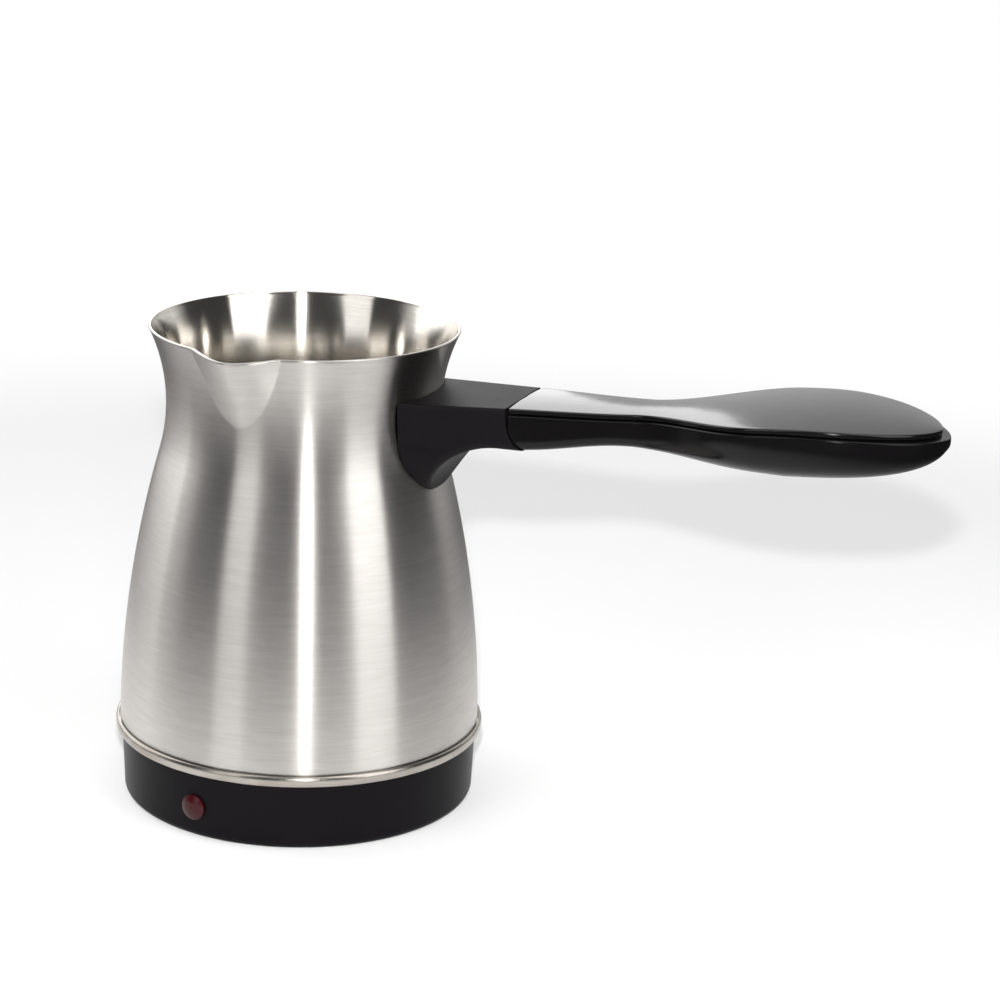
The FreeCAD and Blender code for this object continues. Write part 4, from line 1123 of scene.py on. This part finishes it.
@dataclass(frozen=True)
class Grip:
    """The lower shell and the top cover, with rounded seams."""

    materials: Materials
    form: GripForm = GripForm()
    straight_rings: int = 96
    tip_rings: int = 54
    edge_turns: tuple[float, ...] = (0.0, 0.4, 0.75, 1.1)
    below: float = 95.0
    above: float = 130.0
    slot_lead: float = 6.0
    overlap: float = 0.01

    def stations(self, tip: float) -> np.ndarray:
        """Space the sections along the grip, close together at the tip.

        Args:
            tip: Where the shell ends.

        Returns:
            Their places.
        """
        straight = np.linspace(self.form.seam_x, self.form.belly_x, self.straight_rings,
                               endpoint=False)
        end = self.form.belly_x + (tip - self.form.belly_x) * np.sin(
            np.linspace(0, np.pi / 2, self.tip_rings))
        return np.concatenate([straight, end])

    @staticmethod
    def mirrored(y: list[np.ndarray], z: list[np.ndarray]) -> np.ndarray:
        """Join the runs of a half section and add its mirror image.

        Args:
            y: Each run's distance from the middle plane, places by points.
            z: Each run's height.

        Returns:
            The closed section, as places by points by 2.
        """
        across = np.concatenate(y, axis=1)
        upright = np.concatenate(z, axis=1)
        across = np.concatenate([across, -across[:, -2:0:-1]], axis=1)
        upright = np.concatenate([upright, upright[:, -2:0:-1]], axis=1)
        return np.stack([across, upright], -1)

    def hull_section(self, x: np.ndarray) -> np.ndarray:
        """Give the lower shell's section: deck, small round, side, large round and floor.

        Near the tip each round shrinks with the room that is left for it.

        Args:
            x: Places along the grip.

        Returns:
            The closed section at each place, as places by points by 2.
        """
        form = self.form
        half = np.maximum(form.half_width(x, form.tip_x, 0.0), 0.01)[:, None]
        parting = (form.top(x) - form.cover_edge)[:, None]
        bottom = np.minimum(form.bottom(x)[:, None], parting - 0.01)
        depth = parting - bottom
        corner = np.minimum(np.minimum(form.corner(x)[:, None], half * 0.95), depth * 0.9)
        edge = np.minimum(form.shell_edge, np.minimum(half, depth) * 0.3)
        small = np.linspace(0, np.pi / 2, 5)[None, :]
        large = np.linspace(0, np.pi / 2, 15)[None, :]
        deck = np.linspace(0, 1, 6)[None, :-1]
        drop = np.linspace(0, 1, 8)[None, 1:-1]
        floor = np.linspace(0, 1, 8)[None, 1:]
        y = [deck * (half - edge), half - edge + edge * np.sin(small), half + 0 * drop,
             half - corner + corner * np.cos(large), (half - corner) * (1 - floor)]
        z = [parting + 0 * deck, parting - edge + edge * np.cos(small),
             parting - edge + (bottom + corner - parting + edge) * drop,
             bottom + corner - corner * np.sin(large), bottom + 0 * floor]
        return self.mirrored(y, z)

    def cover_section(self, x: np.ndarray) -> np.ndarray:
        """Give the top cover's section: underside, side, round edge and a low crown.

        Args:
            x: Places along the grip.

        Returns:
            The closed section at each place, as places by points by 2.
        """
        form = self.form
        half = np.maximum(form.half_width(x, form.cover_tip, form.cover_inset), 0.01)[:, None]
        top = form.top(x)[:, None]
        low = top - form.cover_edge + form.cover_groove
        edge = np.minimum(form.cover_round, half * 0.4)
        small = np.linspace(0, np.pi / 2, 6)[None, :]
        flat = np.linspace(0, 1, 5)[None, :-1]
        crown = np.linspace(0, 1, 20)[None, 1:]
        lift = form.cover_crown * half
        y = [flat * half, half + 0 * flat, half - edge + edge * np.cos(small),
             (half - edge) * (1 - crown)]
        z = [low + 0 * flat, low + (top - edge - low) * flat, top - edge + edge * np.sin(small),
             top + lift * (1 - (1 - crown) ** 2)]
        return self.mirrored(y, z)

    def skin(self, section: Callable[[np.ndarray], np.ndarray], tip: float) -> np.ndarray:
        """Sweep a section along the grip, with its near end drawn back to the seam's face.

        Each point of the first rings moves along the grip by a share of the seam's own offset
        at its height, and takes the section at its new place. The end's edge is then rounded.

        Args:
            section: Gives the closed section at each place.
            tip: Where the shell ends.

        Returns:
            The rings, from the seam to the tip.
        """
        form = self.form
        x = self.stations(tip)
        flat = section(x)
        rings = np.concatenate([np.broadcast_to(x[:, None, None], flat.shape[:2] + (1,)), flat],
                               axis=2)
        share = np.clip(1 - (x - form.seam_x) / form.seam_draw, 0, 1)[:, None]
        points = np.arange(rings.shape[1])
        for _ in range(3):
            place = x[:, None] + share * (form.seam(rings[:, :, 2]) - form.seam_x)
            for index in np.nonzero(share[:, 0] > 0)[0]:
                rings[index, :, 0] = place[index]
                rings[index, :, 1:] = section(place[index])[points, points]
        away = rings[0, :, 1:] - rings[0, :, 1:].mean(axis=0)
        outward = away / np.maximum(np.linalg.norm(away, axis=1, keepdims=True), 1e-6)
        rounded = []
        for turn in self.edge_turns:
            ring = rings[0].copy()
            ring[:, 0] += form.end_round * (1 - math.cos(turn))
            ring[:, 1:] -= outward * form.end_round * (1 - math.sin(turn))
            rounded.append(ring)
        rings[0, :, 0] += form.end_round
        return np.concatenate([np.array(rounded), rings])

    def cutters(self) -> list[bpy.types.Object]:
        """Make the tools for the lug's slot, the pin's hole and the screws' recesses.

        Returns:
            The slot's part under the bridge, the open part, the hole and the recesses.
        """
        form = self.form
        slot, half_length = form.slot_half_width, form.pin_hole_half_length
        under = box_tool((form.seam_x - self.slot_lead, -slot, self.below),
                         (form.bridge_end, slot, form.bridge_bottom))
        through = box_tool((form.bridge_end - self.overlap, -slot, self.below),
                           (form.slot_end, slot, self.above))
        hole = round_tool((form.pivot_x, -half_length, form.pivot_height), Vector((0, 1, 0)),
                          form.pin_hole_radius, 2 * half_length)
        recesses = [round_tool((place, 0, self.below), Vector((0, 0, 1)), form.screw_recess,
                               form.recess_depth - self.below) for place in form.screw_places]
        return [under, through, hole, *recesses]

    def build(self) -> None:
        """Make both shells of the grip, in place of their solids."""
        form = self.form
        shell = new_piece("grip_lower_gloss",
                          *capped_rings(self.skin(self.hull_section, form.tip_x)), "grip", 40)
        cut_with(shell, self.cutters())
        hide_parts("grip_lower_shell")
        self.materials.dress(shell, GRIP_SATIN)
        cover = new_piece("grip_cover_gloss",
                          *capped_rings(self.skin(self.cover_section, form.cover_tip)),
                          "grip", 40)
        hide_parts("grip_top_cover")
        self.materials.dress(cover, GRIP_GLOSS)


# The studio. Lengths here are in metres.

POT_MIDDLE = Vector((0.0, 0.0, 0.07))


def round_about(azimuth: float, elevation: float, distance: float) -> Vector:
    """Find a place by its direction from the pot.

    Args:
        azimuth: Degrees from +X towards +Y.
        elevation: Degrees above level.
        distance: Metres from the pot's middle.

    Returns:
        The place, in metres.
    """
    turn, lift = math.radians(azimuth), math.radians(elevation)
    toward = Vector((math.cos(turn) * math.cos(lift), math.sin(turn) * math.cos(lift),
                     math.sin(lift)))
    return POT_MIDDLE + toward * distance


@dataclass(frozen=True)
class Softbox:
    """One area light that faces the pot."""

    name: str
    place: Vector
    width: float
    height: float
    radiance: float
    reflected: bool = True

    @property
    def power(self) -> float:
        """Give the power that lends the panel its radiance."""
        return math.pi * self.width * self.height * self.radiance


# The small flash throws the handle's shadow. The strip is its streak on the steel, and the
# others are the pale and dark bands beside it.
SOFTBOXES = (
    Softbox("flash", Vector((0.290, -0.645, 0.355)), 0.02, 0.014, 8600.0, reflected=False),
    Softbox("strip", round_about(-62.0, 20, 1.2), 0.10, 1.0, 13.0),
    Softbox("card_left", round_about(-110, 34, 1.3), 0.50, 2.2, 1.25),
    Softbox("softbox_right", round_about(-17, 34, 1.3), 0.70, 2.2, 2.3),
    Softbox("softbox_back", round_about(119, 22, 1.5), 0.66, 0.9, 1.8),
    Softbox("softbox_left", round_about(166, 22, 1.3), 1.3, 1.6, 1.0),
    Softbox("overhead", round_about(-60, 84, 1.4), 1.0, 1.0, 0.5),
)
WHITE = (1.0, 1.0, 1.0, 1.0)


@dataclass(frozen=True)
class Studio:
    """Camera, floor, room and lights."""

    camera_mm: tuple[float, float, float] = (307.15, -668.48, 299.9)
    camera_forward: tuple[float, float, float] = (-0.3360, 0.8986, -0.2823)
    camera_roll: float = 2.011
    camera_lens: float = 101.36
    camera_sensor: float = 36.0
    floor_half: float = 4.0
    floor_drop: float = 0.00005
    floor_tone: float = 0.77
    # The card as the steel mirrors it: where its tone falls, and from what to what.
    mirrored_card: tuple[float, float] = (0.11, 0.34)
    mirrored_tones: tuple[float, float] = (0.72, 0.05)
    # The glow that the camera sees on the card: where it rises, and from what to what.
    glow_rise: tuple[float, float] = (0.36, 0.54)
    glow_share: tuple[float, float] = (0.2, 1.0)
    room_bright_side: float = 127.2
    room_tilt: float = 0.05
    # Cosines between which the room passes from its dark side to its bright side.
    room_edge: tuple[float, float] = (0.05, 0.4)
    room_tones: tuple[float, float] = (0.05, 0.8)

    def camera(self) -> None:
        """Stand the camera where the photograph was taken from."""
        data = bpy.data.cameras.new("camera")
        data.sensor_width = self.camera_sensor
        data.lens = self.camera_lens
        data.clip_start = 0.01
        forward = Vector(self.camera_forward).normalized()
        level = forward.cross(Vector((0, 0, 1))).normalized()
        upright = level.cross(forward)
        roll = math.radians(self.camera_roll)
        right = level * math.cos(roll) + upright * math.sin(roll)
        up = upright * math.cos(roll) - level * math.sin(roll)
        turn = Matrix((right, up, -forward)).transposed().to_4x4()
        camera = bpy.data.objects.new("camera", data)
        camera.matrix_world = Matrix.Translation(Vector(self.camera_mm) * MM) @ turn
        bpy.context.scene.collection.objects.link(camera)
        bpy.context.scene.camera = camera

    def floor(self) -> None:
        """Lay a plain pale card that takes soft shadows near the pot and is white further off.

        Its tone in the steel fades with the distance from the pot, so that the steel's bands
        stay dark, and for the camera a glow takes the card's shade away past the shadow.
        """
        far, low = self.floor_half / MM, -self.floor_drop / MM
        floor = bare_piece("floor", np.array([(-far, -far, low), (far, -far, low),
                                              (far, far, low), (-far, far, low)]),
                           [(0, 1, 2, 3)])
        material = bpy.data.materials.new("floor_white_card")
        material.use_nodes = True
        nodes = Nodes(material.node_tree)
        nodes.tree.nodes.clear()
        seen = nodes.seen_directly()
        away = nodes.distance(nodes.place())
        mirrored = nodes.fade(away, *self.mirrored_card, *self.mirrored_tones)
        tone = nodes.node("Mix", {0: seen, 2: mirrored, 3: self.floor_tone}).outputs[0]
        shade_of_grey = nodes.node("CombineColor", {0: tone, 1: tone, 2: tone}).outputs[0]
        card = nodes.node("BsdfDiffuse", {"Color": shade_of_grey}).outputs[0]
        glow = nodes.node("Emission", {"Color": WHITE, "Strength": 1.0}).outputs[0]
        share = nodes.maths("MULTIPLY", seen, nodes.fade(away, *self.glow_rise,
                                                         *self.glow_share))
        mix = nodes.node("MixShader", {0: share, 1: card, 2: glow}).outputs[0]
        nodes.node("OutputMaterial", {"Surface": mix})
        floor.data.materials.append(material)

    def world(self) -> None:
        """Light softly from a pale room that is dark on the camera's side."""
        world = bpy.data.worlds.new("studio")
        bpy.context.scene.world = world
        world.use_nodes = True
        nodes = Nodes(world.node_tree)
        nodes.tree.nodes.clear()
        turn = math.radians(self.room_bright_side)
        facing = nodes.node("VectorMath", {
            0: nodes.node("TexCoord").outputs["Generated"],
            1: (math.cos(turn), math.sin(turn), self.room_tilt)}, operation="DOT_PRODUCT")
        room = nodes.fade(facing.outputs["Value"], *self.room_edge, *self.room_tones)
        strength = nodes.node("Mix", {0: nodes.seen_directly(), 2: room, 3: 1.0}).outputs[0]
        background = nodes.node("Background", {"Color": WHITE, "Strength": strength})
        nodes.node("OutputWorld", {"Surface": background.outputs[0]})

    def light(self, box: Softbox) -> None:
        """Hang one softbox, facing the pot.

        Args:
            box: Where it hangs, its size and its brightness.
        """
        data = bpy.data.lights.new(box.name, "AREA")
        data.shape = "RECTANGLE"
        data.size = box.width
        data.size_y = box.height
        data.energy = box.power
        light = bpy.data.objects.new(box.name, data)
        light.location = box.place
        light.rotation_euler = (box.place - POT_MIDDLE).to_track_quat("Z", "Y").to_euler()
        light.visible_camera = False
        light.visible_glossy = box.reflected
        bpy.context.scene.collection.objects.link(light)

    def build(self) -> None:
        """Set up the whole studio."""
        self.camera()
        self.floor()
        self.world()
        for box in SOFTBOXES:
            self.light(box)
        bpy.context.scene.view_settings.view_transform = "Standard"


def dress_nodes(materials: Materials) -> None:
    """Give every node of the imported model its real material.

    Args:
        materials: Where the materials come from.
    """
    finishes = {name: finish for finish, names in NODE_FINISHES.items() for name in names}
    for name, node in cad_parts.items():
        materials.dress(node, finishes[name])
        log.info("%s: %s", name, finishes[name].name)


def main() -> None:
    """Build the studio and dress the part."""
    logging.basicConfig(level=logging.INFO, format="%(name)s: %(message)s")
    Studio().build()
    materials = Materials()
    dress_nodes(materials)
    Pot(materials).build()
    Grip(materials).build()


if __name__ == "__main__":
    main()
